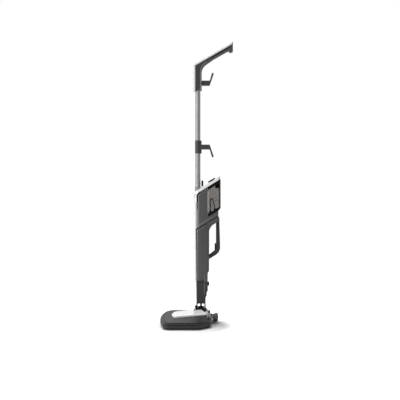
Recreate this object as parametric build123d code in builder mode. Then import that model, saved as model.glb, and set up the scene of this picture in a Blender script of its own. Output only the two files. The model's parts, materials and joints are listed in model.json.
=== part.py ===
from build123d import *
import os
from math import cos, radians, sin, tan

# An upright wet floor cleaner. Lengths are in millimetres. The origin is on the floor under the tilt
# axis of the floor head, with +X to the back, towards the user, and +Z up.

# Walls and clearances
wall = 2.5                  # moulded shells
running_clearance = 0.05    # radial play of a pin in its bore
seat_gap = 0.1              # between pieces that are fixed to each other
moving_gap = 0.4            # between pieces that move past each other
overlap = 1                 # how far shapes that are one piece run into each other
cut_margin = 20             # how far a cut runs past its piece
touch = 0.01                # edges nearer than this to a face lie on it

# Floor head
head_length = 211
head_width = 296
head_rear = 41              # from the tilt axis back to the rear edge
head_bow = 22               # how far the front edge curves
head_cut = 46               # 45 degree cut of the rear corners
head_corner = 28            # rounding of the front corners
head_bend = 18              # rounding of the other corners
pad_thickness = 8
pad_inset = 4
tray_height = 14
tray_floor = 3
tray_chamfer = 2
rim_height = 5.5
rim_rounding = 4
groove_inset = 10
groove_width = 4
groove_depth = 1.6
crown_inset = 15            # from the rim to the foot of the raised middle
crown_share = 0.8           # of the rim's bow and cuts that the raised middle keeps
crown_corner = 24
crown_bend = 8
deck_angle = 5.5            # rise of the raised middle towards the joint
deck_half_width = 57
deck_margin = 6             # border of the deck round the white cover
deck_lift = 1               # of the deck's front edge over the rim
deck_bow = 10
deck_corner = 14
deck_bend = 4
swing_room = 4              # round the fork's ears in the deck
swing_inset = 3
cover_front = -122
cover_half_width = 51
cover_thickness = 8
cover_rear = 24
cover_bow = 14
cover_cut = 4
cover_corner = 18
cover_bend = 2
cover_rounding = 3
cheek_height = 61
cheek_inner = 31            # half width of the slot for the joint
cheek_inset = 3
cheek_lead = 8              # foot of the cheeks ahead of the slot
cheek_step = 4
cheek_crest = 22            # from the front of the slot to the top of the cheeks
cheek_fall = 1
cheek_tail = 3
slot_front = -31
flange_thickness = 5
bracket_depth = 11
bracket_height = 45
bracket_half_width = 44
bracket_slot = 36           # half width of the slot for the neck
bracket_sill = 34
bracket_chamfer = 3
manifold_length = 110
manifold_width = 100
manifold_height = 8
manifold_corner = 12
manifold_margin = 10        # from its back to the back of the cover
inlet_radius = 5
inlet_wall = 2
inlet_bore = 12
nipple_radius = 2.5
nipple_spacing = 18
nipple_rows = 2
nipple_count = 5            # in each row
head_screw_radius = 1.5
head_screw_length = 14
head_screw_head = 1.2
head_screw_sink = 0.3
screw_boss_radius = 4
front_screw_inset = 75      # from the front edge
rear_screw_x = -18
side_screw_inset = 10

# Pedal at the back of the floor head
pedal_half_width = 29
pedal_pin_x = 46
pedal_pin_z = 21
pedal_pin_radius = 2.5
pedal_length = 26           # behind its pin
pedal_lug_width = 6
pedal_lug_reach = 5         # of the lugs round the pin
pedal_lug_heel = 1
pedal_gap = 2               # from the head to the pedal
pedal_heel = 6              # below the pin at the front
pedal_rise = 8              # above the pin at the front
pedal_tip = 16              # above the pin at the back
pedal_drop = 12             # below the pin at the back
pedal_bevel = 4
pedal_rounding = 2
tread_grooves = 4
tread_width = 2
tread_depth = 2
tread_margin = 4
recess_length = 24
recess_height = 13
recess_shift = 5
spring_half_width = 8

# Two-axis joint
joint_height = 58
tilt_pin_radius = 3.5
roll_pin_radius = 3
ring_half_length = 13
ring_half_width = 16
ring_half_height = 10
ring_rounding = 5
ring_chamfer = 1.5
ring_bore = 9
ring_slot = 11.5            # half width of the bore, for the swing of the steam pipe
ring_bore_rounding = 6
pin_gap = 0.5               # from a pin's inner end to the bore
saddle_gap = 1
saddle_width = 12
saddle_radius = 9
saddle_leg = 28
ear_thickness = 6
ear_gap = 0.8
ear_radius = 9
fork_height = 23            # from the roll axis up to the fork's bridge
fork_bridge = 4
fork_inset = 2              # of the bridge in the neck's foot
tenon_height = 14
tenon_half_length = 15
tenon_half_width = 11
nose_length = 7
nose_base = 4
nose_step = 3
nose_low = 7
nose_top = 14
nose_chamfer = 1

# Neck
neck_length = 116           # from the tilt axis to the top of the neck
neck_front = 20.5
neck_rear = 28.6
neck_waist = 24.4
neck_ankle = 19.6
neck_taper = 1
ankle_top = 22              # heights above the fork
waist_foot = 33
waist_top = 45
bulge_foot = 51
long_edge = 0.6             # share of the neck's length from which an edge is rounded
neck_foot_half_width = 17
neck_top_half_width = 24
neck_rounding = 6
socket_depth = 46
spigot_front = 14
spigot_rear = 20
spigot_half_width = 13
pipe_radius = 4
pipe_wall = 1
pipe_lift = 3               # of its lower end over the tilt axis
seal_radius = 7
seal_height = 4
release_height = 16
release_half_width = 8
release_thickness = 9
release_drop = 10           # top of the neck down to the middle of the button
release_sink = 3
release_wall = 2.4          # between the spigot and the button's pocket
button_rounding = 2.5

# Lower body
body_gap = 1.5              # between neck and body
lower_body_length = 232     # from its foot to the slanted seam, on the tilt axis
body_half_width = 34
side_wall = 4
body_front_foot = -19
body_front_seam = -22
body_rear = 34
foot_rear = 28
foot_step = 36              # height of the narrow foot
foot_chamfer = 9
body_rounding = 12
body_slope = 31.5           # slant of the seam, the tank and the top
shoulder_rear = 77
shoulder_drop = 29          # from the seam down to the top of the carry handle
shoulder_step = 10
shoulder_lean = 1
shoulder_overhang = 6
tip_inset = 1.5             # of the shoulder under the tank's seat
window_rise = 36            # height of the arch over the hand window
window_corner = 5
window_bulge = 5
boiler_radius = 20
boiler_length = 95
boiler_x = 6
boiler_lift = 55
boiler_rounding = 6
pump_radius = 15
pump_length = 50
pump_x = 8
pump_lift = 165
pump_chamfer = 2
rib_thickness = 2.5
rib_inset = 15              # from the boiler's ends to its ribs
nozzle_radius = 3.5
nozzle_gap = 1              # over the lower face of the seal
spigot_flange = 2
gland_radius = 7.5
gland_lift = 56
gland_flange = 2
cord_radius = 4
body_screw_radius = 1.5
body_screw_head = 3
body_screw_sink = 1
body_screw_cap = 3
body_screw_end = 10         # from its tip to the inside of the far wall
body_screw_room = 2
boss_radius = 4
boss_inset = 8
foot_boss_lift = 24

# Carry handle and trigger
handle_half_width = 13
handle_low = 92             # from the body's foot to the underside of the loop
handle_bar = 15.5
handle_bulge = 1.3
handle_corner = 6
handle_arm = 18             # height of the lower arm
handle_heel = 28            # heights above the underside of the loop
handle_palm = 40
handle_elbow = 42
handle_straight = 66
palm_step = 3.5
handle_inner_x = 63
handle_bend = 4             # rounding of the loop's corners, seen from the side
handle_rounding = 5
trigger_height = 29
trigger_half_width = 7
trigger_proud = 5.5
trigger_depth = 13
trigger_travel = 4
trigger_rest = 1.5          # left of its spring when it is pulled
trigger_lift = 37           # from the loop's underside to the foot of the trigger
switch_height = 16
switch_depth = 7
switch_width = 10
switch_gap = 1
switch_room = 2

# Upper housing, top cover and tank
seat_height = 20            # from the seam to the tank's floor
bay_height = 125            # from the tank's floor to the deck under the top cover
housing_front = -18.5
housing_rounding = 12
housing_top_rounding = 18
upper_half_width = 42
housing_wall = 3.5
bay_front = 29
seat_rear = 72
cover_band = 12.6           # height of the top cover's edge
cover_nose = -31
cover_tail = 79
cover_overhang = 0.8        # of the top cover's edge over the spine
cover_lip = 2               # of the top cover over the front of the housing
top_half_width = 44
top_bow = 15
top_cut = 8
top_corner = 9
top_bend = 4
spine_half_width = 24
spine_bow = 6
spine_overlap = 34          # top cover's skirt over the spine
spine_step = 4
skirt_lap = 2
hatch_length = 30           # opening over the pump
hatch_width = 40
shelf_reach = 16            # of the shelf behind the tube's axis
tank_half_width = 40
tank_wall = 2.5
tank_corner = 5
tank_rear = 76.5
tank_back_thickness = 4.5
back_lift = 1
back_chamfer = 3
back_rounding = 2
lid_height = 14
valve_radius = 4
valve_seat_radius = 7
valve_seat_length = 14
valve_rise = 13
outlet_reach = 5            # of the tank's outlet to either side of the bay's wall
plug_radius = 9.5
plug_length = 21
plug_flange = 12
plug_rim = 2.5
plug_drop = 25              # from the deck down to the plug's axis
hose_radius = 2.5
hose_bend = 7
barb_radius = 4
barb_height = 14
front_barb_inset = 9.6
rear_barb_inset = 18.5
loop_height = 50
loop_step = 9
loop_crest = 6
loop_bend = 5
loop_seat = 0.75            # of the hose's slanted end over its fitting
latch_length = 33
latch_half_width = 9
latch_thickness = 5.5
latch_x = 47
latch_travel = 5
latch_corner = 4
latch_rounding = 1.5
latch_tongue = 10
latch_tongue_depth = 5.6
latch_foot_half = 6
latch_spring_rest = 4
tongue_pocket = 6
board_half_width = 28
board_height = 60
board_thickness = 1.6
board_lift = 22             # over the valve
board_margin = 7
post_radius = 3
post_height = 2
chip_columns = 24
chip_rows = 26
chip_width = 12
chip_height = 10
chip_depth = 6

# Tube and release button
tube_radius = 10.5
tube_wall = 1.2
tube_x = -13
tube_clearance = 0.3
socket_wall = 1.5
socket_length = 78
socket_collar = 14          # part of the socket that stands out of the top cover
socket_base = 3
tube_exposed = 418          # from the top cover to the top handle
button_height = 23
button_half_width = 7
button_gap = 4.1            # from the tube back to the button
button_thickness = 8.1
button_lift = 2             # over the collar
button_tongue = 8
tongue_thickness = 4
tongue_depth = 5
pocket_step = 0.7
pocket_margin = 0.5
button_spring_length = 3.3
stand_gap = 0.7             # behind the tube
stand_wall = 1.2
stand_margin = 4
stand_cheek = 2

# Hooks
sleeve_height = 54
sleeve_wall = 2.2
sleeve_web = 5
sleeve_shift = 0.6
sleeve_lift = 153           # from the top cover up to the foot of the sleeve
hook_bar_height = 20
hook_bar_end = 36.5
hook_half_width = 8
hook_arm_rise = 31
hook_arm_lean = 13.5
hook_arm_thickness = 7.5
hook_tip = 2
hook_rounding = 2
hook_pivot_radius = 4
hook_pivot_depth = 8
hook_lift = 30              # from the foot of the top handle to the hook's axis

# Top handle
stem_height = 101           # from the handle's foot to the elbow
stem_margin = 0.5           # of the dark core's front ahead of the tube
stem_core = 20
grip_core = 8
insert_thickness = 7
handle_shell = 11.5
grip_angle = 30
grip_end = 130
grip_half_width = 17
elbow_radius = 48
grip_rounding = 5
cover_skirt = 5             # of the white cover below the handle's foot
spigot_length = 60
end_cap_thickness = 3
end_cap_rounding = 1.2
end_lobe_radius = 6

# Springs
pedal_wire = 0.7
pedal_turns = 7
pedal_coil_play = 0.5
light_coil = 4              # release and trigger springs
light_wire = 0.4
release_turns = 3
trigger_turns = 4
button_coil = 1.8
button_wire = 0.25
button_turns = 4
latch_coil = 2
latch_wire = 0.3
latch_turns = 5

# Heights and places that follow from the sizes above
head_front = head_rear - head_length
tray_top = pad_thickness + tray_height
rim_top = tray_top + rim_height
deck_front_height = rim_top + deck_lift
deck_slope = tan(radians(deck_angle))
neck_top = joint_height + neck_length
body_foot = neck_top + body_gap
seam_level = body_foot + lower_body_length
tank_floor_level = seam_level + seat_height
deck_level = tank_floor_level + bay_height
slope = tan(radians(body_slope))
handle_foot = deck_level + cover_band + tube_x * slope + tube_exposed
elbow_z = handle_foot + stem_height
grip_slope = tan(radians(grip_angle))
saddle_inner = ring_half_width + saddle_gap
saddle_outer = saddle_inner + saddle_width
ear_inner = ring_half_length + ear_gap
ear_outer = ear_inner + ear_thickness
fork_top = joint_height + fork_height + fork_bridge
ear_reach = (ear_outer**2 + ear_radius**2) ** 0.5
inlet_top = joint_height - ear_reach - moving_gap
handle_low_z = body_foot + handle_low
trigger_z = handle_low_z + trigger_lift
shoulder_z = seam_level + (shoulder_rear - shoulder_overhang) * slope - shoulder_drop
lid_level = deck_level - lid_height
plug_z = deck_level + tank_rear * slope - plug_drop
button_front = tube_x + tube_radius + button_gap
button_rear = button_front + button_thickness
sleeve_radius = tube_radius + sleeve_wall
stem_line = tube_x - tube_radius - stem_margin

# Planes of the slanted faces
deck_plane = Plane(
    origin=(cover_front, 0, deck_front_height),
    x_dir=(cos(radians(deck_angle)), 0, sin(radians(deck_angle))),
    z_dir=(-sin(radians(deck_angle)), 0, cos(radians(deck_angle))),
)
slope_run = (cos(radians(body_slope)), 0, sin(radians(body_slope)))
slope_normal = (-sin(radians(body_slope)), 0, cos(radians(body_slope)))
top_plane = Plane(origin=(0, 0, deck_level + cover_band), x_dir=slope_run, z_dir=slope_normal)


def deck_height(x):
    """Height of the floor head's deck at x."""
    return deck_front_height + (x - cover_front) * deck_slope


def slanted(x, level):
    """Point at x on a line of the body's slant that crosses the tilt axis at a level."""
    return (x, level + x * slope)


def head_outline(front, bow, half, rear, cut, corner, bend, inset=0):
    """Outline seen from above: bowed front, straight sides and cut rear corners, drawn in by an inset."""
    with BuildSketch() as outline:
        with BuildLine():
            ThreePointArc((front + bow, half), (front, 0), (front + bow, -half))
            Polyline(
                (front + bow, -half),
                (rear - cut, -half),
                (rear, cut - half),
                (rear, half - cut),
                (rear - cut, half),
                (front + bow, half),
            )
        make_face()
        fillet(outline.vertices().group_by(Axis.X)[0], corner)
        fillet([v for v in outline.vertices() if v.X > rear - cut - touch], bend)
        if inset:
            offset(amount=-inset)
    return outline.sketch


def full_outline(inset):
    """Outline of the whole floor head, drawn in by an inset."""
    return head_outline(
        head_front, head_bow, head_width / 2, head_rear, head_cut, head_corner, head_bend, inset
    )


def crown_outline(inset):
    """Foot of the raised middle of the head."""
    gap = crown_inset + inset
    return head_outline(
        head_front + gap,
        head_bow * crown_share,
        head_width / 2 - gap,
        cover_rear - inset,
        head_cut * crown_share,
        crown_corner,
        crown_bend,
    )


def deck_outline(inset):
    """Flat deck under the white cover, measured along the deck from the cover's front."""
    gap = deck_margin - inset
    rear = (cover_rear - inset - cover_front) / cos(radians(deck_angle))
    return head_outline(-gap, deck_bow, deck_half_width - inset, rear, deck_bow, deck_corner, deck_bend)


def coil_spring(plane, length, coil_radius, wire_radius, turns):
    """Helical spring that stands on a plane between two flat seats."""
    height = length - 2 * wire_radius - 2 * seat_gap
    with BuildPart() as spring:
        with BuildLine(plane.offset(wire_radius + seat_gap)) as path:
            Helix(pitch=height / turns, height=height, radius=coil_radius, direction=plane.z_dir)
        with BuildSketch(path.line ^ 0):
            Circle(wire_radius)
        sweep(is_frenet=True)
    return spring


def write(piece, name):
    """Label a finished piece and write its file."""
    piece.part.label = name
    export_step(piece.part, f"parts/{name}.step")


os.makedirs("parts", exist_ok=True)

# Floor head

# Soft pad, a plain block of the right size
with BuildPart() as mop_pad:
    with BuildSketch():
        add(full_outline(pad_inset))
    extrude(amount=pad_thickness - seat_gap)
write(mop_pad, "mop_pad")

# Places of the four screws between tray and shell
screw_x = (head_front + front_screw_inset, rear_screw_x)
screw_y = head_width / 2 - side_screw_inset
head_screw_places = [(x, side * screw_y) for x in screw_x for side in (-1, 1)]
nipple_grid = GridLocations(2 * nipple_spacing, nipple_spacing, nipple_rows, nipple_count)
nipple_places = nipple_grid.local_locations
manifold_x = cover_rear - manifold_margin - manifold_length / 2

# Tray of the head, open at the top
with BuildPart() as base_plate:
    with BuildSketch(Plane.XY.offset(pad_thickness)):
        add(full_outline(0))
    extrude(amount=tray_height)
    chamfer(base_plate.edges().group_by(Axis.Z)[0], tray_chamfer)
    with BuildSketch(Plane.XY.offset(pad_thickness + tray_floor)):
        add(full_outline(wall))
    extrude(amount=tray_height, mode=Mode.SUBTRACT)
    with Locations(*[(x, y, pad_thickness) for x, y in head_screw_places]):
        Cylinder(head_screw_radius + seat_gap, tray_height, mode=Mode.SUBTRACT)
        Cylinder(
            head_screw_radius * 2 + seat_gap,
            2 * (head_screw_sink + head_screw_head),
            mode=Mode.SUBTRACT,
        )
    with BuildSketch(Plane.XY.offset(pad_thickness)):
        with Locations((manifold_x, 0)):
            with Locations(*nipple_places):
                Circle(nipple_radius + seat_gap)
    extrude(amount=tray_floor, mode=Mode.SUBTRACT)
write(base_plate, "base_plate")

# Upper shell with its grooved rim and raised deck
with BuildPart() as head_shell:
    with BuildSketch(Plane.XY.offset(tray_top)):
        add(full_outline(0))
    extrude(amount=rim_height)
    fillet(head_shell.edges().group_by(Axis.Z)[-1], rim_rounding)
    with BuildSketch(Plane.XY.offset(rim_top)):
        add(full_outline(groove_inset))
        offset(amount=-groove_width, mode=Mode.SUBTRACT)
    extrude(amount=-groove_depth, mode=Mode.SUBTRACT)
    with BuildSketch(Plane.XY.offset(tray_top)):
        add(full_outline(wall + rim_rounding / 2))
    extrude(amount=rim_height - wall, mode=Mode.SUBTRACT)
    with BuildSketch(Plane.XY.offset(rim_top)):
        add(crown_outline(0))
    with BuildSketch(deck_plane):
        add(deck_outline(0))
    loft(ruled=True)
    with BuildSketch(Plane.XY.offset(rim_top - wall)):
        add(crown_outline(wall))
    with BuildSketch(deck_plane.offset(-wall)):
        add(deck_outline(wall))
    loft(ruled=True, mode=Mode.SUBTRACT)
    with BuildSketch(Plane.XZ):
        with Locations((0, joint_height)):
            Circle(ear_outer + swing_room)
    extrude(amount=saddle_inner - swing_inset, both=True, mode=Mode.SUBTRACT)
    with BuildSketch(Plane.XY.offset(rim_top)):
        Circle(inlet_radius + seat_gap)
    extrude(amount=joint_height - rim_top, mode=Mode.SUBTRACT)
    for x, y in head_screw_places:
        with BuildSketch(Plane.XY.offset(pad_thickness + tray_floor)):
            with Locations((x, y)):
                Circle(screw_boss_radius)
                Circle(head_screw_radius + seat_gap, mode=Mode.SUBTRACT)
        extrude(amount=rim_top - wall - pad_thickness - tray_floor)
write(head_shell, "head_shell")

with BuildPart() as head_screws:
    with Locations(*[(x, y, pad_thickness + head_screw_sink) for x, y in head_screw_places]):
        Cylinder(head_screw_radius * 2, head_screw_head, align=(Align.CENTER, Align.CENTER, Align.MIN))
        Cylinder(head_screw_radius, head_screw_length, align=(Align.CENTER, Align.CENTER, Align.MIN))
write(head_screws, "head_screws")

# Steam distributor in the tray, with nipples through the floor and the inlet up to the joint
with BuildPart() as steam_manifold:
    with BuildSketch(Plane.XY.offset(pad_thickness + tray_floor)):
        with Locations((manifold_x, 0)):
            RectangleRounded(manifold_length, manifold_width, manifold_corner)
    extrude(amount=manifold_height)
    with BuildSketch(Plane.XY.offset(pad_thickness + tray_floor)):
        with Locations((manifold_x, 0)):
            with Locations(*nipple_places):
                Circle(nipple_radius)
    extrude(amount=-tray_floor)
    with BuildSketch(Plane.XY.offset(pad_thickness + tray_floor + manifold_height)):
        Circle(inlet_radius)
    extrude(amount=inlet_top - pad_thickness - tray_floor - manifold_height)
    with Locations((0, 0, inlet_top)):
        Cylinder(inlet_radius - inlet_wall, 2 * inlet_bore, mode=Mode.SUBTRACT)
write(steam_manifold, "steam_manifold")

# White wedge cover: a slab on the deck, two cheeks beside the joint and a rear flange
cover_run = (cover_rear - cover_front) / cos(radians(deck_angle))
with BuildPart() as head_cover:
    with BuildSketch(deck_plane):
        add(head_outline(0, cover_bow, cover_half_width, cover_run, cover_cut, cover_corner, cover_bend))
    extrude(amount=cover_thickness)
    fillet(head_cover.faces().sort_by(Axis.Z)[-1].edges().group_by(Axis.X)[0], cover_rounding)
    with BuildSketch(Plane.XZ):
        Polygon(
            (slot_front - cheek_lead, deck_height(slot_front - cheek_lead)),
            (slot_front + cheek_step, cheek_height - cheek_step),
            (slot_front + cheek_crest, cheek_height),
            (cheek_step, cheek_height - cheek_fall),
            (cover_rear - cheek_step, deck_height(cover_rear) + 2 * cheek_tail),
            (cover_rear, deck_height(cover_rear) + cheek_tail),
            (cover_rear, deck_height(cover_rear)),
            align=None,
        )
    extrude(amount=cover_half_width - cheek_inset, both=True)
    with BuildSketch(Plane.XZ):
        Polygon(
            (cover_rear, rim_top + seat_gap),
            (cover_rear + flange_thickness, rim_top + seat_gap),
            (cover_rear + flange_thickness, deck_height(cover_rear) - cheek_fall),
            (cover_rear, deck_height(cover_rear) + cheek_tail),
            align=None,
        )
    extrude(amount=cover_half_width - 2 * cheek_inset, both=True)
    with BuildSketch(Plane.XZ):
        Polygon(
            (slot_front, rim_top - cut_margin),
            (slot_front, cheek_height + cut_margin),
            (cover_rear + cut_margin, cheek_height + cut_margin),
            (cover_rear + cut_margin, rim_top - cut_margin),
            align=None,
        )
    extrude(amount=cheek_inner, both=True, mode=Mode.SUBTRACT)
write(head_cover, "head_cover")

# Two bearing blocks on the deck
with BuildPart() as pivot_saddles:
    with BuildSketch(Plane.XZ):
        with Locations((0, joint_height)):
            Circle(saddle_radius)
        with Locations((0, joint_height - saddle_leg / 2)):
            Rectangle(saddle_radius * 2, saddle_leg)
    extrude(amount=saddle_outer, both=True)
    with BuildSketch(Plane.XZ):
        with Locations((0, joint_height)):
            Rectangle(4 * cut_margin, 4 * cut_margin)
    extrude(amount=saddle_inner, both=True, mode=Mode.SUBTRACT)
    split(bisect_by=deck_plane.offset(seat_gap / 2), keep=Keep.TOP)
    with BuildSketch(Plane.XZ):
        with Locations((0, joint_height)):
            Circle(tilt_pin_radius + running_clearance)
    extrude(amount=saddle_outer, both=True, mode=Mode.SUBTRACT)
write(pivot_saddles, "pivot_saddles")

with BuildPart() as tilt_pins:
    with BuildSketch(Plane.XZ):
        with Locations((0, joint_height)):
            Circle(tilt_pin_radius)
    extrude(amount=saddle_outer, both=True)
    with Locations((0, 0, joint_height)):
        Box(2 * cut_margin, 2 * (ring_slot + pin_gap), 2 * cut_margin, mode=Mode.SUBTRACT)
write(tilt_pins, "tilt_pins")

# Grey bracket at the back, with a slot for the tilted neck and lugs for the pedal
bracket_front = cover_rear + flange_thickness + seat_gap
bracket_rear = bracket_front + bracket_depth
lug_inner = pedal_half_width + moving_gap
with BuildPart() as rear_bracket:
    with BuildSketch(Plane.XZ):
        Polygon(
            (bracket_front, rim_top + seat_gap),
            (bracket_front, bracket_height - bracket_chamfer),
            (bracket_front + bracket_chamfer, bracket_height),
            (bracket_rear - bracket_chamfer, bracket_height),
            (bracket_rear, bracket_height - bracket_chamfer),
            (bracket_rear, rim_top + seat_gap),
            align=None,
        )
    extrude(amount=bracket_half_width, both=True)
    with BuildSketch(Plane.XZ):
        Polygon(
            (head_rear + seat_gap, pad_thickness),
            (head_rear + seat_gap, rim_top + seat_gap),
            (bracket_front + pedal_lug_reach, rim_top + seat_gap),
            (bracket_front + pedal_lug_reach, rim_top + pedal_lug_reach),
            (pedal_pin_x, rim_top + pedal_lug_reach),
            (pedal_pin_x + pedal_lug_reach, pedal_pin_z + pedal_lug_reach),
            (pedal_pin_x + pedal_lug_reach, pedal_pin_z - pedal_lug_reach),
            (pedal_pin_x - pedal_lug_heel, pad_thickness),
            align=None,
        )
    extrude(amount=lug_inner + pedal_lug_width, both=True)
    with BuildSketch(Plane.XZ):
        Polygon(
            (bracket_front - cut_margin, bracket_sill),
            (bracket_front - cut_margin, bracket_height + cut_margin),
            (bracket_rear + cut_margin, bracket_height + cut_margin),
            (bracket_rear + cut_margin, bracket_sill),
            align=None,
        )
    extrude(amount=bracket_slot, both=True, mode=Mode.SUBTRACT)
    with BuildSketch(Plane.XZ):
        Polygon(
            (bracket_rear, 0),
            (bracket_rear, bracket_sill + cut_margin),
            (pedal_pin_x + cut_margin, bracket_sill + cut_margin),
            (pedal_pin_x + cut_margin, 0),
            align=None,
        )
    extrude(amount=lug_inner, both=True, mode=Mode.SUBTRACT)
    with BuildSketch(Plane.XZ):
        with Locations((pedal_pin_x, pedal_pin_z)):
            Circle(pedal_pin_radius + running_clearance)
    extrude(amount=lug_inner + pedal_lug_width, both=True, mode=Mode.SUBTRACT)
write(rear_bracket, "rear_bracket")

with BuildPart() as pedal_pin:
    with BuildSketch(Plane.XZ):
        with Locations((pedal_pin_x, pedal_pin_z)):
            Circle(pedal_pin_radius)
    extrude(amount=lug_inner + pedal_lug_width, both=True)
write(pedal_pin, "pedal_pin")

# Foot pedal: a block on the pin with ribs across its top and a recess for its spring
pedal_front = head_rear + pedal_gap
pedal_end = pedal_pin_x + pedal_length
tread_front = pedal_front + pedal_bevel
tread_foot = pedal_pin_z + pedal_rise + pedal_bevel / 2
tread_run = pedal_end - pedal_bevel - tread_front
tread_slope = (pedal_pin_z + pedal_tip - tread_foot) / tread_run
with BuildPart() as pedal:
    with BuildSketch(Plane.XZ):
        Polygon(
            (pedal_front, pedal_pin_z - pedal_heel),
            (pedal_front, pedal_pin_z + pedal_rise),
            (tread_front, tread_foot),
            (pedal_end - pedal_bevel, pedal_pin_z + pedal_tip),
            (pedal_end, pedal_pin_z + pedal_tip - pedal_bevel),
            (pedal_end - pedal_bevel / 2, pedal_pin_z - pedal_heel),
            (pedal_end - 2 * pedal_bevel, pedal_pin_z - pedal_drop),
            (pedal_front + 2 * pedal_bevel, pedal_pin_z - pedal_drop),
            align=None,
        )
    extrude(amount=pedal_half_width, both=True)
    fillet(pedal.edges().filter_by(Axis.Z, reverse=True).filter_by(Axis.Y, reverse=True), pedal_rounding)
    for groove in range(tread_grooves):
        along = tread_run * (groove + 1) / (tread_grooves + 1)
        with BuildSketch(Plane.XZ):
            with Locations((tread_front + along, tread_foot + along * tread_slope)):
                Rectangle(tread_width, 2 * tread_depth)
        extrude(amount=pedal_half_width - tread_margin, both=True, mode=Mode.SUBTRACT)
    with BuildSketch(Plane.XZ):
        with Locations((pedal_pin_x, pedal_pin_z)):
            Circle(pedal_pin_radius + running_clearance)
    extrude(amount=pedal_half_width, both=True, mode=Mode.SUBTRACT)
    with BuildSketch(Plane.XZ):
        with Locations((pedal_pin_x - recess_shift, pedal_pin_z)):
            Rectangle(recess_length, recess_height)
    extrude(amount=spring_half_width, both=True, mode=Mode.SUBTRACT)
write(pedal, "pedal")

pedal_spring = coil_spring(
    Plane(origin=(pedal_pin_x, spring_half_width - moving_gap, pedal_pin_z), z_dir=(0, -1, 0)),
    2 * spring_half_width - 2 * moving_gap,
    pedal_pin_radius + pedal_wire + pedal_coil_play,
    pedal_wire,
    pedal_turns,
)
write(pedal_spring, "pedal_spring")

# Two-axis joint

with BuildPart() as joint_ring:
    with BuildSketch(Plane.XY.offset(joint_height - ring_half_height)):
        RectangleRounded(2 * ring_half_length, 2 * ring_half_width, ring_rounding)
    extrude(amount=2 * ring_half_height)
    ends = joint_ring.edges().group_by(Axis.Z)
    chamfer(ends[0] + ends[-1], ring_chamfer)
    with BuildSketch(Plane.XY.offset(joint_height)):
        RectangleRounded(2 * ring_bore, 2 * ring_slot, ring_bore_rounding)
    extrude(amount=ring_half_height, both=True, mode=Mode.SUBTRACT)
    with BuildSketch(Plane.XZ):
        with Locations((0, joint_height)):
            Circle(tilt_pin_radius + running_clearance)
    extrude(amount=saddle_outer, both=True, mode=Mode.SUBTRACT)
    with BuildSketch(Plane.YZ):
        with Locations((0, joint_height)):
            Circle(roll_pin_radius + running_clearance)
    extrude(amount=ear_outer, both=True, mode=Mode.SUBTRACT)
write(joint_ring, "joint_ring")

with BuildPart() as roll_pins:
    with BuildSketch(Plane.YZ):
        with Locations((0, joint_height)):
            Circle(roll_pin_radius)
    extrude(amount=ear_outer, both=True)
    with Locations((0, 0, joint_height)):
        Box(2 * (ring_bore + pin_gap), 2 * cut_margin, 2 * cut_margin, mode=Mode.SUBTRACT)
write(roll_pins, "roll_pins")

# Neck

with BuildPart() as neck_fork:
    with BuildSketch(Plane.YZ):
        with Locations((0, joint_height)):
            Circle(ear_radius)
        Polygon(
            (-ear_radius, joint_height),
            (ear_radius, joint_height),
            (ear_radius, fork_top - fork_bridge),
            (neck_foot_half_width - fork_inset, fork_top),
            (fork_inset - neck_foot_half_width, fork_top),
            (-ear_radius, fork_top - fork_bridge),
            align=None,
        )
    extrude(amount=ear_outer, both=True)
    with Locations((0, 0, joint_height)):
        Box(2 * ear_inner, 4 * cut_margin, 2 * fork_height, mode=Mode.SUBTRACT)
    with BuildSketch(Plane.XY.offset(fork_top)):
        Rectangle(2 * tenon_half_length, 2 * tenon_half_width)
    extrude(amount=tenon_height)
    with BuildSketch(Plane.XZ):
        Polygon(
            (-ear_outer, joint_height - nose_base),
            (-ear_outer - nose_step, joint_height - nose_base / 2),
            (-ear_outer - nose_step, joint_height + nose_low),
            (-ear_outer - nose_length, joint_height + nose_low + nose_base / 2),
            (-ear_outer - nose_length + nose_chamfer, joint_height + nose_top - nose_chamfer),
            (-ear_outer, joint_height + nose_top),
            align=None,
        )
    extrude(amount=ear_radius - nose_step, both=True)
    with Locations((0, 0, fork_top)):
        Cylinder(pipe_radius + seat_gap, 2 * (tenon_height + overlap), mode=Mode.SUBTRACT)
    with BuildSketch(Plane.YZ):
        with Locations((0, joint_height)):
            Circle(roll_pin_radius + running_clearance)
    extrude(amount=ear_outer, both=True, mode=Mode.SUBTRACT)
write(neck_fork, "neck_fork")

release_z = neck_top - release_drop
release_pocket = spigot_rear + release_wall
socket_floor = neck_top - socket_depth


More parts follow.
